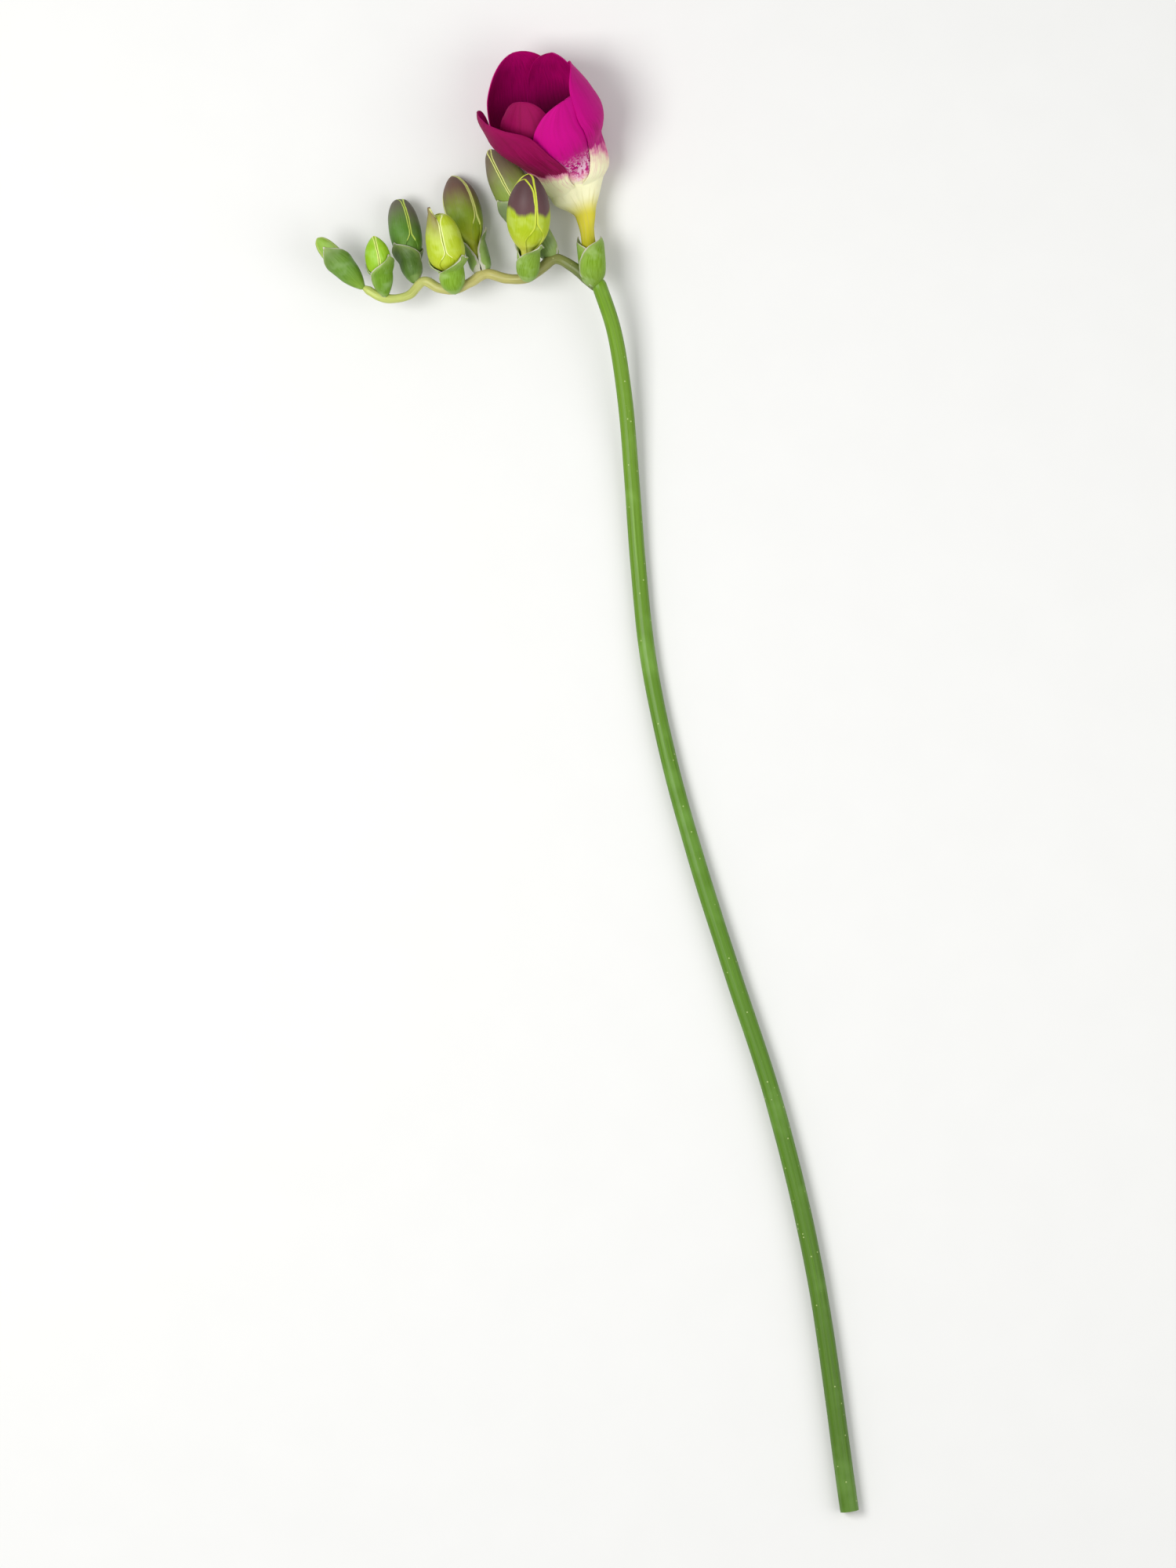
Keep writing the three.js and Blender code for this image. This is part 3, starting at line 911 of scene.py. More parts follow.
@dataclass
class Axis:
    """The green axis: the long cut stem and the zigzag rachis that it turns into."""

    stem_route: tuple[Triple, ...] = (
        (71, -342, -10.54),
        (61, -274, -10.0),
        (50, -228, -9.8),
        (38, -191, -9.9),
        (28.5, -161, -10.1),
        (20.5, -132, -10.4),
        (14.8, -104, -10.6),
        (12, -78, -10.4),
        (10.2, -54, -9.0),
        (8.3, -32, -6.4),
        (5.2, -13, -2.9),
        (1.4, -1.5, -0.3),
        (0.2, 1.8, 0.3),
    )
    rachis_route: tuple[Triple, ...] = (
        (0.6, -1.0, -0.5),
        (-2.2, 1.2, -1.0),
        (-6.0, 4.4, -1.4),
        (-11.1, 6.8, -1.6),
        (-15.2, 3.9, -0.4),
        (-19.4, 1.3, 0.4),
        (-24.5, 1.2, -0.5),
        (-30.5, 2.6, -1.3),
        (-34.4, 0.3, -0.5),
        (-39.2, -1.9, 0.3),
        (-43.4, -1.4, -0.5),
        (-47.6, 0.5, -1.2),
        (-51.8, -3.4, -0.6),
        (-58.2, -4.3, 0.1),
        (-64.8, -1.0, 0),
    )
    stem_radii: Pair = (2.6, 2.05)
    stem_wander: float = 0.02  # how much its thickness wanders, as a share of the radius
    stem_cells: Cells = (48, 420)
    rachis_radii: Pair = (1.6, 1.2)
    rachis_wander: float = 0.08
    rachis_cells: Cells = (32, 300)
    ribs: int = 9
    rib_depth: float = 0.012  # a share of the radius
    swells: float = 28.0  # how often a stalk swells and thins from end to end, in radians
    cut_hollow: float = 0.5  # how far the pith sinks below the cut's rim
    cut_share: float = 0.012  # the share of the mesh's rows that the cut face takes
    end_round: float = 2.2  # how far before its far end a stalk starts to close

    def build(self, effects: Effects) -> None:
        """Makes and dresses the stem and the rachis.

        Args:
            effects: The shared node groups.
        """
        green = StalkFinish((76, 116, 4), (86, 132, 4), (106, 148, 10))
        stem = Clay()
        shape = self._stalk(Route(self.stem_route), self.stem_radii, self.stem_wander)
        stem.tube(self.stem_cells, shape, self._measure)
        stem.finish("stem_stalk", green.build("stem skin", effects), "stem_green", "stem")
        olive = StalkFinish((98, 112, 52), (186, 180, 108), (192, 204, 112), ribs=16.0)
        rachis = Clay()
        shape = self._stalk(Route(self.rachis_route), self.rachis_radii, self.rachis_wander)
        rachis.tube(self.rachis_cells, shape, self._measure)
        rachis.finish("rachis", olive.build("rachis skin", effects), "stem_green", "stem")

    def _stalk(self, route: Route, radii: Pair, wander: float) -> Place:
        """The shape of a stalk along a route.

        Args:
            route: Its centre line.
            radii: Its radius at either end.
            wander: How much its thickness wanders, as a share of the radius.

        Returns:
            The function that places its points.
        """

        def place(u: float, v: float, _: float) -> Vector:
            """A point of the stalk.

            Args:
                u: From -1 to 1 round it.
                v: From 0 to 1 along it.

            Returns:
                The point.
            """
            share = clamp((v - self.cut_share) / (1 - self.cut_share))
            radius = lerp(*radii, share) * (1 + wander * wave(self.swells * share, wander))
            ribbed = 1 + self.rib_depth * math.cos(self.ribs * math.pi * u)
            on_face = clamp(v / self.cut_share)
            sunk = self.cut_hollow * (1 - smooth(on_face, 0.35, 1))
            close = math.sqrt(clamp((1 - v) * route.length / self.end_round))
            return route.station(share).beside(radius * ribbed * on_face * close, 180 * u, sunk)

        return place

    def _measure(self, _: float, v: float) -> dict[Mark, float]:
        """The marks of a stalk, whose flush is 1 on the cut face."""
        return {Mark.RISE: v, Mark.FLUSH: 1 - smooth(v, 0.5 * self.cut_share, 1.1 * self.cut_share)}


# ------------------------------------------------------------ florets


@dataclass
class Floret:
    """A place on the rachis with an axis that what grows there follows."""

    at: Triple
    lean: float  # degrees that its axis turns to the left of +Y
    rise: float  # degrees that its axis points up from the table
    turn: float  # degrees from the upper side round to the middle of the outer bract
    outer: float  # the outer bract's length
    inner: float  # the inner bract's length
    wrap: float = 150.0  # degrees that a bract reaches round to either side near its foot
    girth: float = 2.2  # the least radius that the bracts stand round
    foot: float = 1.5  # how fast the bracts open from their foot, which is rounded at 1.5 and slim at 1

    def station(self) -> Station:
        """Works out where it stands.

        Returns:
            The station at its foot.
        """
        lean, rise = math.radians(self.lean), math.radians(self.rise)
        flat = math.cos(rise)
        along = Vector((-math.sin(lean) * flat, math.cos(lean) * flat, math.sin(rise)))
        return station(Vector(self.at), along)


@dataclass
class Bracts:
    """A floret's two bracts, which open from one foot and wrap what they hold."""

    number: int
    floret: Floret
    radius_at: Callable[[float], float]
    finish: BractFinish
    wall: float = 0.45
    thin: float = 0.12  # the wall at the papery margin
    thins: float = 1.6  # how far from the margin the wall starts to thin
    clear: float = 0.25  # how far the inner bract stands off what it holds
    step: float = 0.55  # how much further the outer one does
    tip_wrap: float = 9.0  # degrees that a bract reaches round to either side at its tip
    root: float = -0.6  # where along the floret's axis it starts
    fills: float = 12.0  # how far from the foot it opens at twice the pace
    flare: float = 0.15  # how far its sides stand out
    room: float = 1.03  # how much wider it stands than what it holds
    ripple: float = 0.035  # how far its margins wave, as a share of its reach round
    foot_gap: float = 0.0005  # keeps the foot a hair open, so that its points stay apart
    crowding: float = 1.6  # how much the mesh's rows crowd towards the tip
    cells: Cells = (32, 30)

    def build(self, effects: Effects) -> None:
        """Makes and dresses both bracts as one piece.

        Args:
            effects: The shared node groups.
        """
        clay = Clay()
        self._bract(clay, self.floret.turn + 180, self.floret.inner, self.clear, self.number + 0.5)
        self._bract(clay, self.floret.turn, self.floret.outer, self.clear + self.step, float(self.number))
        finish = self.finish.build(f"bract {self.number}", effects)
        clay.finish(f"bracts_{self.number}", finish, "stem_green", "stem")

    def _half_angle(self, share: float) -> float:
        """How many degrees the bract reaches round to either side at a share of its length."""
        full = clamp(1 - share**3) ** 1.2 * lerp(0.86, 1, smooth(share, 0, 0.3))
        return lerp(self.tip_wrap, self.floret.wrap, full)

    def _bract(self, clay: Clay, turn: float, length: float, clear: float, seed: float) -> None:
        """Adds one bract.

        Args:
            clay: The mesh that it goes into.
            turn: Degrees from the upper side round to its middle.
            length: Its length.
            clear: How far it stands off what it holds.
            seed: Sets how its margin wanders.
        """
        foot = self.floret.station()

        def along_at(share: float) -> float:
            """How far along the floret's axis the bract is at a share of its length."""
            return lerp(self.root, length, share)

        def edge_at(u: float, share: float) -> float:
            """How far it is to the free margin."""
            width = math.radians(self._half_angle(share)) * (self.radius_at(along_at(share)) + clear)
            return min((1 - abs(u)) * width, (1 - share) * length * 0.9)

        def place(u: float, row: float, face: float) -> Vector:
            """A point of the bract.

            Args:
                u: From -1 to 1 across it.
                row: From 0 to 1 along its rows, which crowd towards the tip.
                face: 0 on its inner face and 1 on its outer one.

            Returns:
                The point.
            """
            share = crowded(row, self.crowding)
            along = along_at(share)
            held = self.room * max(self.radius_at(along), self.floret.girth) + clear
            rise = along - self.root + self.foot_gap
            opened = self.floret.foot * math.sqrt(rise) * (1 + rise / self.fills) / held
            wall = lerp(self.thin, self.wall, smooth(edge_at(u, share), 0, self.thins)) * clamp(opened)
            flare = self.flare * smooth(abs(u), 0.55, 1) * smooth(share, 0.2, 0.7)
            out = held * opened / (1 + opened**4) ** 0.25 + face * wall + flare
            ripple = 1 + self.ripple * wave(11 * share, seed) * smooth(abs(u), 0.5, 1)
            angle = turn + u * self._half_angle(share) * ripple
            drop = u * u * share * (1 + 0.3 * wave(9 * u + 4 * share, seed))
            return foot.beside(out, angle, along - drop)

        def measure(u: float, row: float) -> dict[Mark, float]:
            """The marks of a point of the bract."""
            share = crowded(row, self.crowding)
            return {Mark.EDGE: edge_at(u, share), Mark.RISE: share}

        clay.blade(self.cells, place, measure)


@dataclass
class Bud:
    """A closed bud: a core of rolled inner tepals and three outer tepals, whose margins meet in seams."""

    number: int
    floret: Floret
    length: float
    radius: float
    neck: float  # the share of its length at which it starts to widen
    belly: float  # the share at which it is widest
    blunt: float  # from 0, a pointed tip, to 1, a round one
    seam: float  # degrees from the upper side round to one of the three seams
    gape: float  # how far two outer tepals stand apart
    flush_from: Triple  # the share of each outer tepal's length from which it is flushed
    finish: BudFinish
    bracts: BractFinish
    wall: float = 0.4
    lift: float = 0.18  # how far the outer tepals stand off the core
    pillow: float = 0.12  # how much further they do along their middle
    start: float = 0.1  # the share of the outline at which they start
    reach: Triple = (0.99, 0.99, 0.99)  # the share of the outline at which each one ends
    lobe: Triple = (0.0, 0.0, 0.0)  # how far each one's tip stands up above the others
    split: float = 0.45  # the share of its length down to which two of them meet
    tip_width: float = 0.25  # how wide they are at the tip, as a share of their width
    least_angle: float = 8.0  # degrees that one reaches round to either side where it is narrowest
    tepal_cells: Cells = (24, 44)
    core_end: float = 0.985  # the share of the outline at which the core ends
    core_cells: Cells = (36, 48)
    profile: Route = field(init=False)

    def __post_init__(self) -> None:
        """Lays the bud's outline, from its foot to its tip."""
        self.profile = Route([(along * self.length, out * self.radius) for along, out in self._outline()])

    def _outline(self) -> list[Pair]:
        """Works out the outline from the few shares that set it.

        Returns:
            Its points, as shares of the length and of the radius at the belly.
        """

        def rising(share: float) -> float:
            """The place at a share of the way from the neck to the belly."""
            return lerp(self.neck, self.belly, share)

        def falling(share: float) -> float:
            """The place at a share of the way from the belly to the tip."""
            return lerp(self.belly, 1, share)

        return [
            (0.07, 0.02),
            (0.075, 0.2),
            (0.16, 0.33),
            (self.neck, 0.37),
            (rising(0.28), 0.68),
            (rising(0.58), 0.9),
            (self.belly, 1),
            (falling(0.3), 0.96),
            (falling(0.55), lerp(0.8, 0.88, self.blunt)),
            (falling(0.77), lerp(0.5, 0.7, self.blunt)),
            (falling(0.91), lerp(0.25, 0.46, self.blunt)),
            (1, 0.01),
        ]

    def radius_at(self, along: float) -> float:
        """The bud's radius.

        Args:
            along: The distance from the rachis.

        Returns:
            The radius there.
        """
        outline = self._outline()
        share = max(along / self.length, outline[0][0])
        for (start, from_radius), (end, to_radius) in pairwise(outline):
            if share <= end:
                return self.radius * lerp(from_radius, to_radius, (share - start) / (end - start))
        return 0.0

    def build(self, effects: Effects) -> None:
        """Makes and dresses the bud and its bracts.

        Args:
            effects: The shared node groups.
        """
        clay = Clay()
        foot = self.floret.station()

        def core(u: float, v: float, _: float) -> Vector:
            """A point of the core.

            Args:
                u: From -1 to 1 round it.
                v: From 0 to 1 along it.

            Returns:
                The point.
            """
            spot = self.profile.at(v * self.core_end)
            out = max(0.0, spot.y - 0.5 * self.wall) if 0 < v < 1 else 0.0
            return foot.beside(out, 180 * u, spot.x)

        def core_marks(_: float, v: float) -> dict[Mark, float]:
            """The marks of a point of the core."""
            rise = v * self.core_end
            return {Mark.EDGE: NO_EDGE, Mark.RISE: rise, Mark.FLUSH: rise - max(self.flush_from) - 0.15}

        clay.tube(self.core_cells, core, core_marks)
        for third in range(3):
            self._tepal(clay, foot, third)
        finish = self.finish.build(f"bud {self.number}", effects)
        clay.finish(f"bud_skin_{self.number}", finish, "bud_skin", f"bud_{self.number}")
        Bracts(self.number, self.floret, self.radius_at, self.bracts).build(effects)

    def _half_angle(self, v: float, out: float) -> float:
        """How far an outer tepal reaches round to either side.

        Args:
            v: The share of its length.
            out: The bud's radius there.

        Returns:
            The angle in degrees.
        """
        claw = lerp(0.5, 1, smooth(v, self.split - 0.2, self.split))
        tip = max(self.tip_width, clamp(1 - (clamp((v - 0.86) / 0.14)) ** 2.4) ** 0.5)
        open_by = math.degrees(0.5 * self.gape / max(out, 1.0))
        return max(self.least_angle, 0.5 * THIRD * claw * tip - open_by)

    def _tepal(self, clay: Clay, foot: Station, third: int) -> None:
        """Adds one outer tepal.

        Args:
            clay: The mesh that it goes into.
            foot: The bud's foot and directions.
            third: Which of the three it is, counted from the seam.
        """
        middle = self.seam + THIRD * (third + 0.5)
        end = self.reach[third]
        seed = self.number + 0.37 * third
        lobe = self.lobe[third]

        def place(u: float, v: float, face: float) -> Vector:
            """A point of the tepal.

            Args:
                u: From -1 to 1 across it.
                v: From 0 to 1 along it.
                face: 0 on its inner face and 1 on its outer one.

            Returns:
                The point.
            """
            spot = self.profile.at(lerp(self.start, end, v))
            spot.y = max(spot.y, 0.5 * self.radius * clamp(lobe) * smooth(v, 0.5, 0.9))
            spot.x += lobe * smooth(v, 0.8, 1) * (1 - u * u)
            lift = self.lift * smooth(v, 0.1, 0.4) + self.pillow * (1 - u * u) * smooth(v, 0.15, 0.5)
            wall = self.wall * lerp(1, 0.45, abs(u) ** 3)
            out = max(0.02, spot.y - wall * (1 - face) + lift * face * clamp(spot.y / 2))
            wander = 1 + 0.03 * wave(9 * v, seed) * u * u
            return foot.beside(out, middle + u * wander * self._half_angle(v, spot.y), spot.x)

        def measure(u: float, v: float) -> dict[Mark, float]:
            """The marks of a point of the tepal.

            Args:
                u: From -1 to 1 across it.
                v: From 0 to 1 along it.

            Returns:
                The value of each mark.
            """
            spot = self.profile.at(lerp(self.start, end, v))
            edge = (1 - abs(u)) * math.radians(self._half_angle(v, spot.y)) * spot.y
            edge += 2 * (1 - smooth(v, self.split - 0.2, self.split - 0.08))
            flush = v - self.flush_from[third] + 0.04 * wave(3 * u, seed)
            return {Mark.EDGE: edge, Mark.RISE: v, Mark.FLUSH: flush}

        clay.blade(self.tepal_cells, place, measure)


# ------------------------------------------------------------ the open bloom


MAGENTA = PetalHue((186, 0, 124), (156, 0, 96))
# a darker copy of the magenta, which is painted shade on the two tepals that lie in shade
MAGENTA_IN_PAINTED_SHADE = PetalHue((140, 6, 76), (112, 2, 54))


@dataclass
class Tepal:
    """One tepal of the bloom."""

    layer: Layer
    turn: float  # degrees from the upper side round to its middle
    reach: float  # the share of the cup's side at which its tip lies
    lean: float  # how far its tip leans in
    cream: float = 33.0  # millimetres along the centre line at which its middle turns from cream to magenta
    slope: float = 0.0  # how much higher that is at its right margin than at its middle
    arch: float = 0.0  # how much higher that is at both margins than at its middle
    frost: float = 0.0  # how much pale mist lies above it, from 0 to 1
    curl: float = 0.0  # how far the last of its tip bends out
    width: float = 1.0  # its width beside the other tepals'
    blunt: float = 2.4  # how little its tip narrows before its end
    inset: float = 0.0  # how far it lies inside its whorl
    hue: PetalHue = MAGENTA

    def outline(self, share: float) -> float:
        """The tepal's outline.

        Args:
            share: The share of its length.

        Returns:
            Its half width there, as a share of the widest that a usual tepal is.
        """
        widest = 0.62
        if share < widest:
            return self.width * lerp(0.45, 1, smooth(share, 0, widest))
        return self.width * max(0.03, clamp(1 - ((share - widest) / (1 - widest)) ** self.blunt) ** 0.5)


@dataclass(frozen=True)
class Swelling:
    """A place where the cup stands further out than a round one, or less far."""

    turn: float  # degrees from the upper side round to its middle
    at: float  # how far along the centre line it is highest
    reach: float  # how far it runs from there
    out: float  # its height

    def height(self, rise: float, angle: float) -> float:
        """Its height at a distance along the centre line and at an angle."""
        facing = clamp(math.cos(math.radians(angle - self.turn)))
        return self.out * facing * bump(rise, self.at, self.reach)


@dataclass
class Bloom:
    """The open bloom: a slim tube, a cream throat and a cup of six magenta tepals, with style and stamens."""

    floret: Floret = field(
        default_factory=lambda: Floret(
            (-0.5, -0.8, 1.4), lean=5.4, rise=-17.6, turn=68, outer=14, inner=15.4, girth=2.8
        )
    )
    centre: tuple[Triple, ...] = (
        (-0.8, 0.6, 0.9),
        (-1.7, 10, -2.1),
        (-2.7, 17.3, -4.5),
        (-4.3, 22, -5.6),
        (-6.5, 27.3, -5.2),
        (-8.7, 33, -3.2),
        (-12.0, 39, 0.5),
        (-14.5, 45, 4.6),
        (-16.0, 50.5, 8.7),
        (-17.3, 55.5, 12.6),
        (-18.4, 59.8, 15.9),
    )
    cup: tuple[Pair, ...] = (
        (0, 2.5),
        (4, 3.8),
        (8, 6.0),
        (13, 9.4),
        (19, 13.0),
        (25, 15.6),
        (31, 16.7),
        (36.5, 16.4),
        (41.5, 15.3),
        (46, 13.9),
    )
    tepals: tuple[Tepal, ...] = (
        Tepal(
            Layer.OUTER, turn=-60, reach=0.84, lean=1.5, cream=40.0, slope=-4.0, arch=2.0, curl=2.4,
            width=1.06, blunt=4.5, hue=MAGENTA_IN_PAINTED_SHADE,
        ),
        Tepal(Layer.OUTER, turn=83, reach=0.98, lean=3.6, cream=34.5, slope=-5.5),
        Tepal(Layer.OUTER, turn=199, reach=0.99, lean=1.2, cream=34.0),
        Tepal(
            Layer.INNER, turn=33, reach=0.88, lean=2.4, cream=32.6, slope=-1.0, arch=2.0, frost=0.75,
            width=1.16,
        ),
        Tepal(Layer.INNER, turn=141, reach=0.96, lean=2.5, cream=34.0),
        Tepal(Layer.INNER, turn=-30, reach=0.91, lean=5.0, cream=38.0, width=0.98, inset=0.8, hue=MAGENTA_IN_PAINTED_SHADE),
    )
    swellings: tuple[Swelling, ...] = (
        Swelling(turn=90, at=28, reach=13, out=4.2),
        Swelling(turn=-90, at=25.5, reach=5.5, out=2.6),
        Swelling(turn=-90, at=41, reach=10, out=-3.6),
        Swelling(turn=-90, at=58, reach=12, out=1.8),
        Swelling(turn=-128, at=60, reach=18, out=-2.4),
    )
    tube_start: float = 2.4
    tube_opens: float = 7.0  # where the tube's hollow starts
    tube_widens: float = 14.0
    tube_flush: float = 40.0  # where the tube would turn red
    throat: float = 21.0  # where the cup's side starts
    tube_radius: float = 2.0
    foot_radius: float = 1.2
    wall: float = 0.8
    margin_wall: float = 0.3
    joined: float = 0.27  # the share of the cup's side up to which the tepals are one wall
    half_width: float = 13.5
    tip_length: float = 26.0  # how fast the distance to the tip grows along a tepal
    hollow: float = 0.8  # how far a tepal's sides curve in
    ripple: float = 0.25  # how far its margins wave
    layer_step: float = 0.55  # how far the whorls stand out and in
    root_start: float = 0.4  # where a tepal starts, as a share of the joined part
    root_depth: float = 0.9  # how far a tepal's root lies in the throat's wall
    least_round: float = 6.0  # the least radius that a tepal's width is laid round
    crowding: float = 1.7  # how much the mesh's rows crowd towards the tip
    tube_cells: Cells = (60, 120)
    tepal_cells: Cells = (48, 56)

    def __post_init__(self) -> None:
        """Lays the centre line and the cup's side."""
        self.line = Route(self.centre)
        self.side = Route([(self.throat + along, out) for along, out in self.cup])

    def build(self, effects: Effects) -> None:
        """Makes and dresses the bloom and its bracts.

        Args:
            effects: The shared node groups.
        """
        finishes = {
            hue: PetalFinish(hue).build(f"petal {name}", effects)
            for name, hue in (("magenta", MAGENTA), ("painted shade magenta", MAGENTA_IN_PAINTED_SHADE))
        }
        tube = Clay()
        self._tube(tube)
        tube.finish("bloom_tube", finishes[MAGENTA], "petal", "bloom_1")
        for number, tepal in enumerate(self.tepals, start=1):
            clay = Clay()
            self._tepal(clay, tepal, number)
            clay.finish(f"bloom_tepal_{number}", finishes[tepal.hue], "petal", "bloom_1")
        bracts = BractFinish((113, 146, 42), (126, 164, 45), (126, 157, 66))
        Bracts(1, self.floret, self._tube_radius_at, bracts).build(effects)

    def _tube_radius_at(self, along: float) -> float:
        """The tube's radius at a distance from the rachis."""
        return lerp(self.foot_radius, self.tube_radius, smooth(along, 0, 3))

    def _station(self, rise: float) -> Station:
        """The station at a distance along the centre line."""
        return self.line.station(rise / self.line.length)

    def _beside(self, rise: float, out: float, angle: float) -> Vector:
        """A point of the perianth.

        Args:
            rise: How far along the centre line it is.
            out: How far from it, before the swellings.
            angle: Degrees from the upper side.

        Returns:
            The point.
        """
        swollen = out + sum(swelling.height(rise, angle) for swelling in self.swellings)
        return self._station(rise).beside(swollen, angle)

    def _tube(self, clay: Clay) -> None:
        """Adds the tube and throat, from the foot up the outer side, over the lip and down the inner side.

        Args:
            clay: The mesh that it goes into.
        """
        flare = lerp(self.tube_widens, self.throat, 0.6)
        lip = [self.side.at(share * self.joined) for share in (0, 0.3, 0.55, 0.8, 0.95)]
        for sunk, spot in zip((0, 0, 0.1, 0.6, 1.0), lip):
            spot.y -= sunk
        profile = Route(
            [
                (self.tube_start, 0.05),
                (self.tube_start + 0.1, 0.6 * self.tube_radius),
                (self.tube_opens, self.tube_radius),
                (self.tube_widens, self.tube_radius),
                (flare, 1.17 * self.tube_radius),
                *[(spot.x, spot.y) for spot in lip],
                *[(spot.x + 0.4 * self.wall, spot.y - self.wall) for spot in reversed(lip)],
                (flare, 1.17 * self.tube_radius - self.wall),
                (self.tube_widens, self.tube_radius - self.wall),
                (self.tube_opens, self.tube_radius - self.wall),
                (self.tube_opens - 1, 0.05),
            ]
        )

        def place(u: float, v: float, _: float) -> Vector:
            """A point of the tube.

            Args:
                u: From -1 to 1 round it.
                v: From 0 to 1 along it.

            Returns:
                The point.
            """
            spot = profile.at(v)
            out = spot.y if 0 < v < 1 else 0.0
            ribs = 1 + 0.03 * math.cos(6 * math.pi * u) * smooth(spot.x, 8, 14)
            return self._beside(spot.x, out * ribs, 180 * u)

        def measure(_: float, v: float) -> dict[Mark, float]:
            """The marks of a point of the tube."""
            spot = profile.at(v)
            return {Mark.EDGE: NO_EDGE, Mark.RISE: spot.x, Mark.FLUSH: spot.x - self.tube_flush}

        clay.tube(self.tube_cells, place, measure)

    def _tepal(self, clay: Clay, tepal: Tepal, number: int) -> None:
        """Adds one tepal.

        Args:
            clay: The mesh that it goes into.
            tepal: Its place and size.
            number: Its number, which sets how its margin wanders.
        """
        step = self.layer_step * tepal.layer.value - tepal.inset

        def spot_at(v: float) -> Vector:
            """The cup's side at a share of the tepal's length."""
            return self.side.at(lerp(self.root_start * self.joined, tepal.reach, v))

        def half_width(v: float) -> float:
            """The tepal's half width at a share of its length."""
            return tepal.outline(v) * self.half_width

        def edge_at(u: float, v: float) -> float:
            """How far it is to the free margin."""
            return min((1 - abs(u)) * half_width(v), (1 - v) * self.tip_length)

        def place(u: float, row: float, face: float) -> Vector:
            """A point of the tepal.

            Args:
                u: From -1 to 1 across it.
                row: From 0 to 1 along its rows, which crowd towards the tip.
                face: 0 on its inner face and 1 on its outer one.

            Returns:
                The point.
            """
            v = crowded(row, self.crowding)
            spot = spot_at(v)
            inward = self.hollow * u * u * v * tepal.outline(v) + tepal.lean * smooth(v, 0.5, 1)
            inward -= tepal.curl * smooth(v, 0.66, 1) ** 2
            full = smooth(edge_at(u, v), 0, 3) * (1 - 0.5 * smooth(v, 0.5, 1))
            wall = lerp(self.margin_wall, self.wall, full)
            waved = self.ripple * smooth(abs(u), 0.4, 1) * smooth(v, 0.3, 0.7)
            ripple = waved * wave(7 * v + 3 * u, number)
            rooted = self.root_depth * (1 - smooth(v, 0, 0.16))
            out = spot.y + step * smooth(v, 0, 0.12) - inward + (face - 0.5) * wall + ripple - rooted
            angle = tepal.turn + math.degrees(u * half_width(v) / max(spot.y, self.least_round))
            return self._beside(spot.x, out, angle)

        def measure(u: float, row: float) -> dict[Mark, float]:
            """The marks of a point of the tepal.

            Args:
                u: From -1 to 1 across it.
                row: From 0 to 1 along its rows, which crowd towards the tip.

            Returns:
                The value of each mark.
            """
            v = crowded(row, self.crowding)
            spot = spot_at(v)
            border = tepal.cream + tepal.slope * u + tepal.arch * u * u
            return {
                Mark.EDGE: edge_at(u, v),
                Mark.RISE: spot.x,
                Mark.FLUSH: spot.x - border,
                Mark.FROST: tepal.frost * (1 - u * u),
            }

        clay.blade(self.tepal_cells, place, measure)


# ------------------------------------------------------------ style and stamens


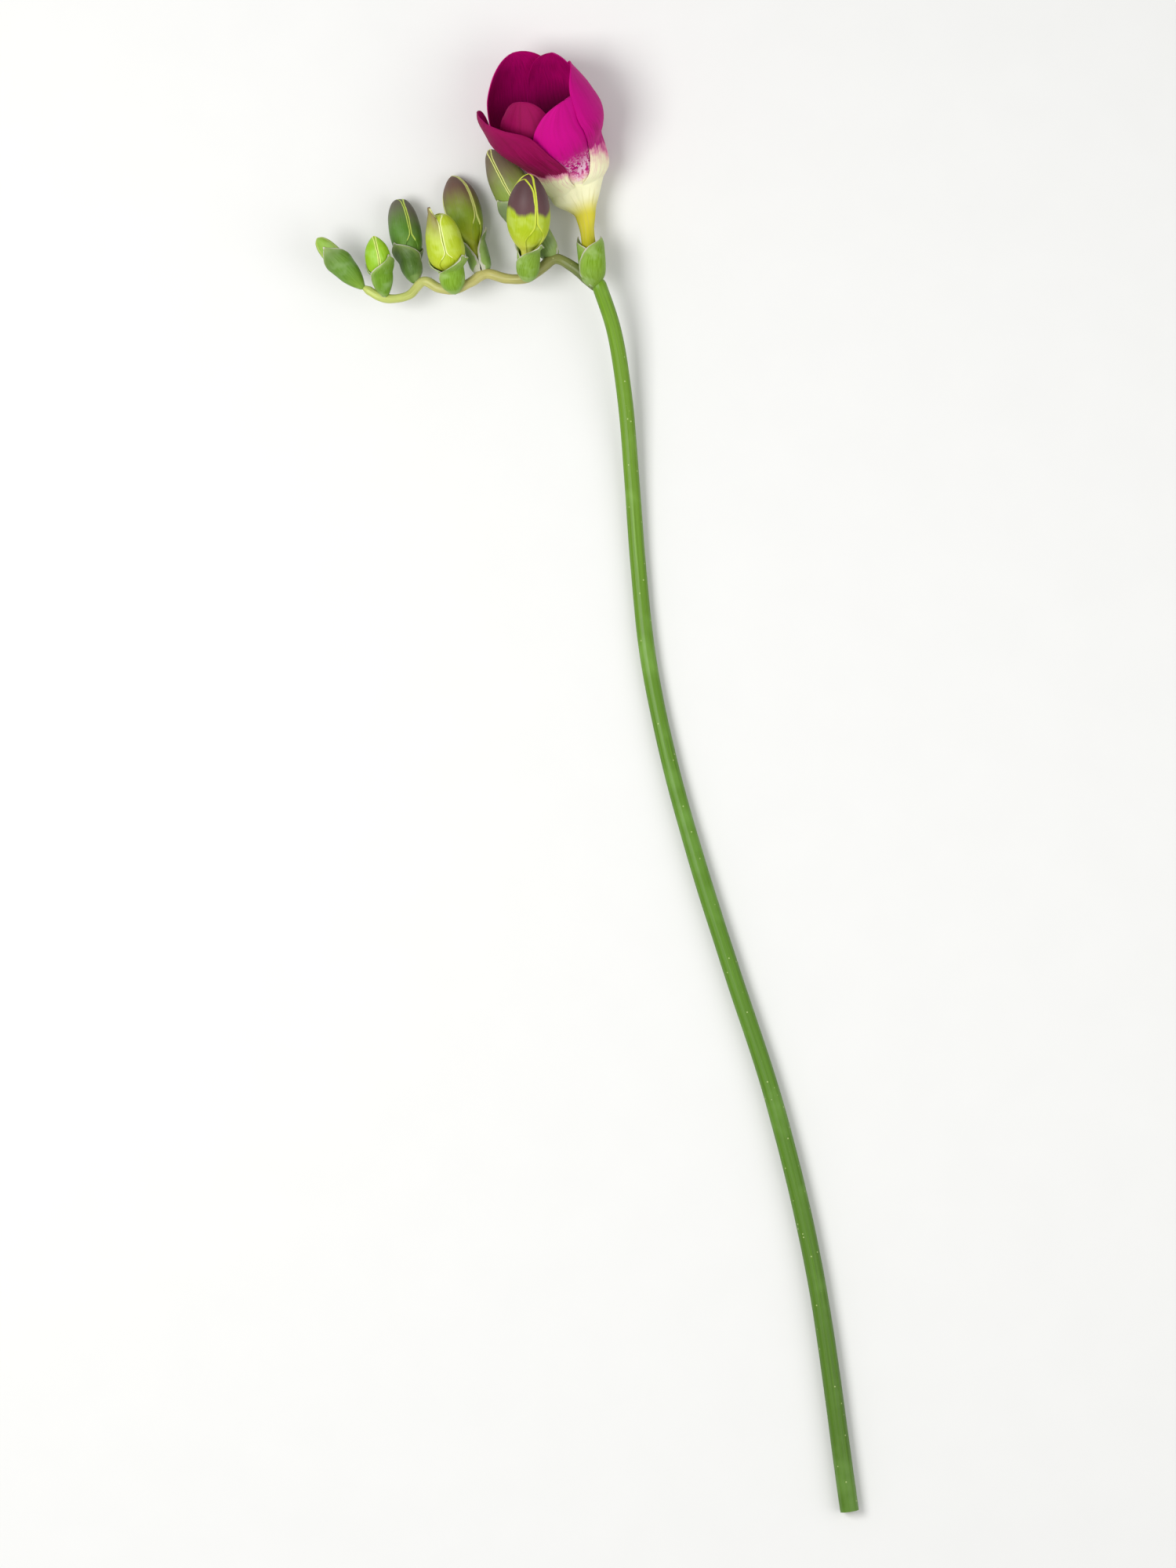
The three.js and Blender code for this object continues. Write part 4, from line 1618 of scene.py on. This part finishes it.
@dataclass
class Centre:
    """The bloom's style with its forked arms, and its three stamens."""

    bloom: Bloom
    style_span: Pair = (7.0, 45.0)
    style_radius: float = 0.42
    arm_length: float = 4.0
    arm_spread: float = 2.4
    arm_radius: float = 0.36
    stamen_span: Pair = (24.0, 43.0)
    stamen_spread: Pair = (1.3, 2.3)
    stamen_turn: float = 40.0
    filament_radius: float = 0.38
    anther_radius: float = 0.75
    anther_length: float = 7.0
    rod_steps: int = 8  # the steps of a rod's route
    rod_cells: Cells = (14, 60)
    rod_close: float = 25.0  # how fast a rod's ends round off

    def build(self, effects: Effects) -> None:
        """Makes and dresses the style and the stamens.

        Args:
            effects: The shared node groups.
        """
        pale = PlainFinish((226, 214, 224), (206, 180, 206)).build("style", effects)
        clay = Clay()
        self._rod(clay, self.style_span, 0, lambda _: 0.0, lambda _: self.style_radius)
        start = self.style_span[1] - 1
        for third in range(3):
            span = (start, start + self.arm_length)
            self._rod(clay, span, THIRD * third, lambda share: self.arm_spread * share, self._arm_radius)
        clay.finish("style_and_arms", pale, "style", "style")
        grey = PlainFinish((214, 196, 214), (150, 140, 158), Skin(roughness=0.75)).build("stamen", effects)
        for number in (1, 2, 3):
            clay = Clay()
            turn = self.stamen_turn + THIRD * (number - 1)
            self._rod(clay, self.stamen_span, turn, self._stamen_spread, self._stamen_radius)
            clay.finish(f"stamen_and_anther_{number}", grey, "stamen", f"stamen_{number}")

    def _arm_radius(self, share: float) -> float:
        """An arm's radius, a little wider at its tip."""
        return self.arm_radius * lerp(0.8, 1.2, share)

    def _stamen_spread(self, share: float) -> float:
        """How far a stamen stands from the centre line."""
        return lerp(*self.stamen_spread, share)

    def _stamen_radius(self, share: float) -> float:
        """A stamen's radius: a slim filament and a thicker anther.

        Args:
            share: The share of its length.

        Returns:
            The radius there.
        """
        anther = 1 - self.anther_length / (self.stamen_span[1] - self.stamen_span[0])
        thick = smooth(share, anther - 0.04, anther + 0.04) * (1 - 0.5 * smooth(share, 0.93, 1))
        return lerp(self.filament_radius, self.anther_radius, thick)

    def _rod(
        self,
        clay: Clay,
        span: Pair,
        turn: float,
        spread_at: Callable[[float], float],
        radius_at: Callable[[float], float],
    ) -> None:
        """Adds a thin rod that runs up the inside of the bloom.

        Args:
            clay: The mesh that it goes into.
            span: Where it starts and ends along the bloom's centre line.
            turn: Degrees from the upper side round to it.
            spread_at: Its distance from the centre line at a share of its length.
            radius_at: Its radius at a share of its length.
        """
        line = self.bloom.line
        shares = [step / self.rod_steps for step in range(self.rod_steps + 1)]
        route = Route([line.station(lerp(*span, s) / line.length).beside(spread_at(s), turn) for s in shares])

        def place(u: float, v: float, _: float) -> Vector:
            """A point of the rod."""
            close = math.sqrt(clamp(min(v, 1 - v) * self.rod_close))
            return route.station(v).beside(radius_at(v) * close, 180 * u)

        clay.tube(self.rod_cells, place, lambda _, v: {Mark.EDGE: NO_EDGE, Mark.RISE: v})


# ------------------------------------------------------------ table, light and camera


@dataclass(frozen=True)
class Lamp:
    """A soft square light that faces the middle of the part."""

    name: str
    place: Triple  # in metres
    size: float  # the length of its side, in metres
    power: float  # in watts

    def hang(self) -> None:
        """Adds the light to the scene."""
        data = bpy.data.lights.new(self.name, "AREA")
        data.size = self.size
        data.energy = self.power
        lamp = bpy.data.objects.new(self.name, data)
        lamp.location = self.place
        lamp.rotation_euler = Vector(self.place).to_track_quat("Z", "Y").to_euler()
        bpy.context.scene.collection.objects.link(lamp)


@dataclass
class Studio:
    """A pale table, soft light and a camera that looks straight down on the stem."""

    view_height: float = 0.438  # metres of table from the bottom to the top of the picture
    lens: float = 180.0
    sensor: float = 36.0
    table_size: float = 3.0  # metres from its middle to its edge
    table_drop: float = 0.0003  # metres that it lies below the frame's zero
    table_tone: Colour = (224, 224, 222)
    table_grain: Colour = (221, 221, 219)
    table_roughness: float = 0.9
    room_light: float = 0.52
    lamps: tuple[Lamp, ...] = (
        Lamp("key light", (-0.42, 0.05, 0.8), size=0.4, power=6.0),
        Lamp("fill light", (0.55, -0.1, 0.7), size=0.7, power=2.6),
    )

    def build(self) -> None:
        """Makes the table, the lights and the camera."""
        scene = bpy.context.scene
        scene.view_settings.view_transform = "Standard"
        self._table()
        world = bpy.data.worlds.new("room light")
        world.use_nodes = True
        background = world.node_tree.nodes["Background"]
        background.inputs["Color"].default_value = (1.0, 1.0, 1.0, 1.0)
        background.inputs["Strength"].default_value = self.room_light
        scene.world = world
        for lamp in self.lamps:
            lamp.hang()
        self._camera()

    def _table(self) -> None:
        """Makes the table top, just under the part."""
        mesh = bmesh.new()
        bmesh.ops.create_grid(mesh, x_segments=1, y_segments=1, size=self.table_size)
        bmesh.ops.translate(mesh, verts=mesh.verts[:], vec=Vector((0, 0, -self.table_drop)))
        data = bpy.data.meshes.new("table")
        mesh.to_mesh(data)
        mesh.free()
        material, wiring = new_material("table top")
        grain = wiring.noise(wiring.place(), scale=60.0, detail=3.0)
        tone = wiring.mix(grain, linear(self.table_tone), linear(self.table_grain))
        shader = wiring.node("BsdfPrincipled", Base_Color=tone)
        shader.inputs["Roughness"].default_value = self.table_roughness
        wiring.surface(shader)
        data.materials.append(material)
        table = bpy.data.objects.new("table", data)
        bpy.context.scene.collection.objects.link(table)

    def _camera(self) -> None:
        """Adds the camera over the middle of the part, with +Y up in the picture."""
        data = bpy.data.cameras.new("camera")
        data.sensor_width = self.sensor
        data.lens = self.lens
        camera = bpy.data.objects.new("camera", data)
        camera.location = (0, 0, self.view_height * self.lens / self.sensor)
        bpy.context.scene.collection.objects.link(camera)
        bpy.context.scene.camera = camera


# ------------------------------------------------------------ the whole stem


BUDS = (
    Bud(
        2, Floret((-11.4, 6.8, -2.0), lean=30.5, rise=-12.2, turn=-60, outer=22, inner=17),
        length=37, radius=5.3, neck=0.22, belly=0.54, blunt=0.2,
        seam=-15, gape=0.3, flush_from=(0.6, 0.6, 0.66),
        finish=BudFinish((190, 204, 70), (134, 158, 66), (104, 92, 72)),
        bracts=BractFinish((114, 141, 72), (123, 146, 87), (126, 141, 101)),
    ),
    Bud(
        3, Floret((-18.8, 0.6, 1.4), lean=-1, rise=26, turn=46, outer=12.2, inner=11.5),
        length=31.8, radius=5.8, neck=0.29, belly=0.57, blunt=0.3,
        seam=24, gape=0.2, flush_from=(0.6, 0.56, 0.66), reach=(0.99, 0.99, 0.94), split=0.54,
        finish=BudFinish(
            (198, 200, 72), (164, 184, 26), (80, 54, 56), margin=(196, 208, 66), margin_width=0.42, blend=0.03
        ),
        bracts=BractFinish((114, 150, 45), (123, 158, 51), (129, 158, 73)),
    ),
    Bud(
        4, Floret((-31.2, 2.3, -1.9), lean=17, rise=-16.6, turn=90, outer=13.6, inner=13.2, wrap=92),
        length=31, radius=4.8, neck=0.3, belly=0.66, blunt=0.1,
        seam=42, gape=0.3, flush_from=(0.56, 0.6, 0.6), split=0.46,
        finish=BudFinish((176, 188, 30), (130, 158, 38), (98, 74, 62), margin_width=0.34),
        bracts=BractFinish((106, 144, 55), (109, 141, 62), (126, 151, 78)),
    ),
    Bud(
        5, Floret((-38.9, -2.8, 1.4), lean=12, rise=20, turn=45, outer=11.4, inner=12.6, girth=2.6),
        length=23.4, radius=5.0, neck=0.28, belly=0.5, blunt=0.9,
        seam=-3, gape=0.24, flush_from=(1.5, 1.5, 0.84), reach=(0.95, 0.97, 0.95), lobe=(0, 0, 3.0),
        split=0.52, tip_width=0.4, core_end=0.95,
        finish=BudFinish((192, 196, 52), (174, 192, 44), (104, 76, 66), margin=(222, 228, 150)),
        bracts=BractFinish((116, 153, 44), (123, 162, 45), (134, 164, 72)),
    ),
    Bud(
        6, Floret((-50.0, 0.3, -1.5), lean=11.5, rise=-16, turn=-50, outer=11.6, inner=11, foot=1.1),
        length=25.2, radius=4.2, neck=0.2, belly=0.58, blunt=0.75,
        seam=20, gape=0.3, flush_from=(0.56, 0.7, 0.7), reach=(0.96, 0.96, 0.96), tip_width=0.4,
        finish=BudFinish((106, 146, 40), (82, 126, 36), (90, 88, 72), margin=(186, 206, 92)),
        bracts=BractFinish((84, 118, 39), (77, 107, 39), (101, 121, 61)),
    ),
    Bud(
        7, Floret((-58.3, -3.7, 1.0), lean=10.5, rise=16, turn=50, outer=12, inner=11, foot=1.0),
        length=17.4, radius=3.3, neck=0.3, belly=0.58, blunt=0.05,
        seam=4, gape=0.2, flush_from=(1.5, 1.5, 1.5),
        finish=BudFinish((160, 196, 40), (140, 184, 30), (110, 110, 70), margin=(206, 218, 120)),
        bracts=BractFinish((102, 143, 31), (104, 146, 34), (118, 151, 59)),
    ),
    Bud(
        8, Floret((-64.4, -1.4, 0), lean=43, rise=3, turn=-10, outer=15.8, inner=15.2, wrap=165, foot=0.85),
        length=18.9, radius=2.5, neck=0.2, belly=0.55, blunt=0.9,
        seam=60, gape=0.1, flush_from=(1.5, 1.5, 1.5),
        finish=BudFinish((160, 186, 60), (134, 172, 58), (110, 110, 70), margin=(170, 190, 90)),
        bracts=BractFinish((123, 158, 51), (102, 141, 51), (108, 134, 70)),
    ),
)


def main() -> None:
    """Builds every sub-assembly in order and reports each piece."""
    logging.basicConfig(level=logging.INFO, format="%(name)s: %(message)s")
    effects = Effects()
    Axis().build(effects)
    bloom = Bloom()
    bloom.build(effects)
    Centre(bloom).build(effects)
    for bud in BUDS:
        bud.build(effects)
    Studio().build()


if __name__ == "__main__":
    main()
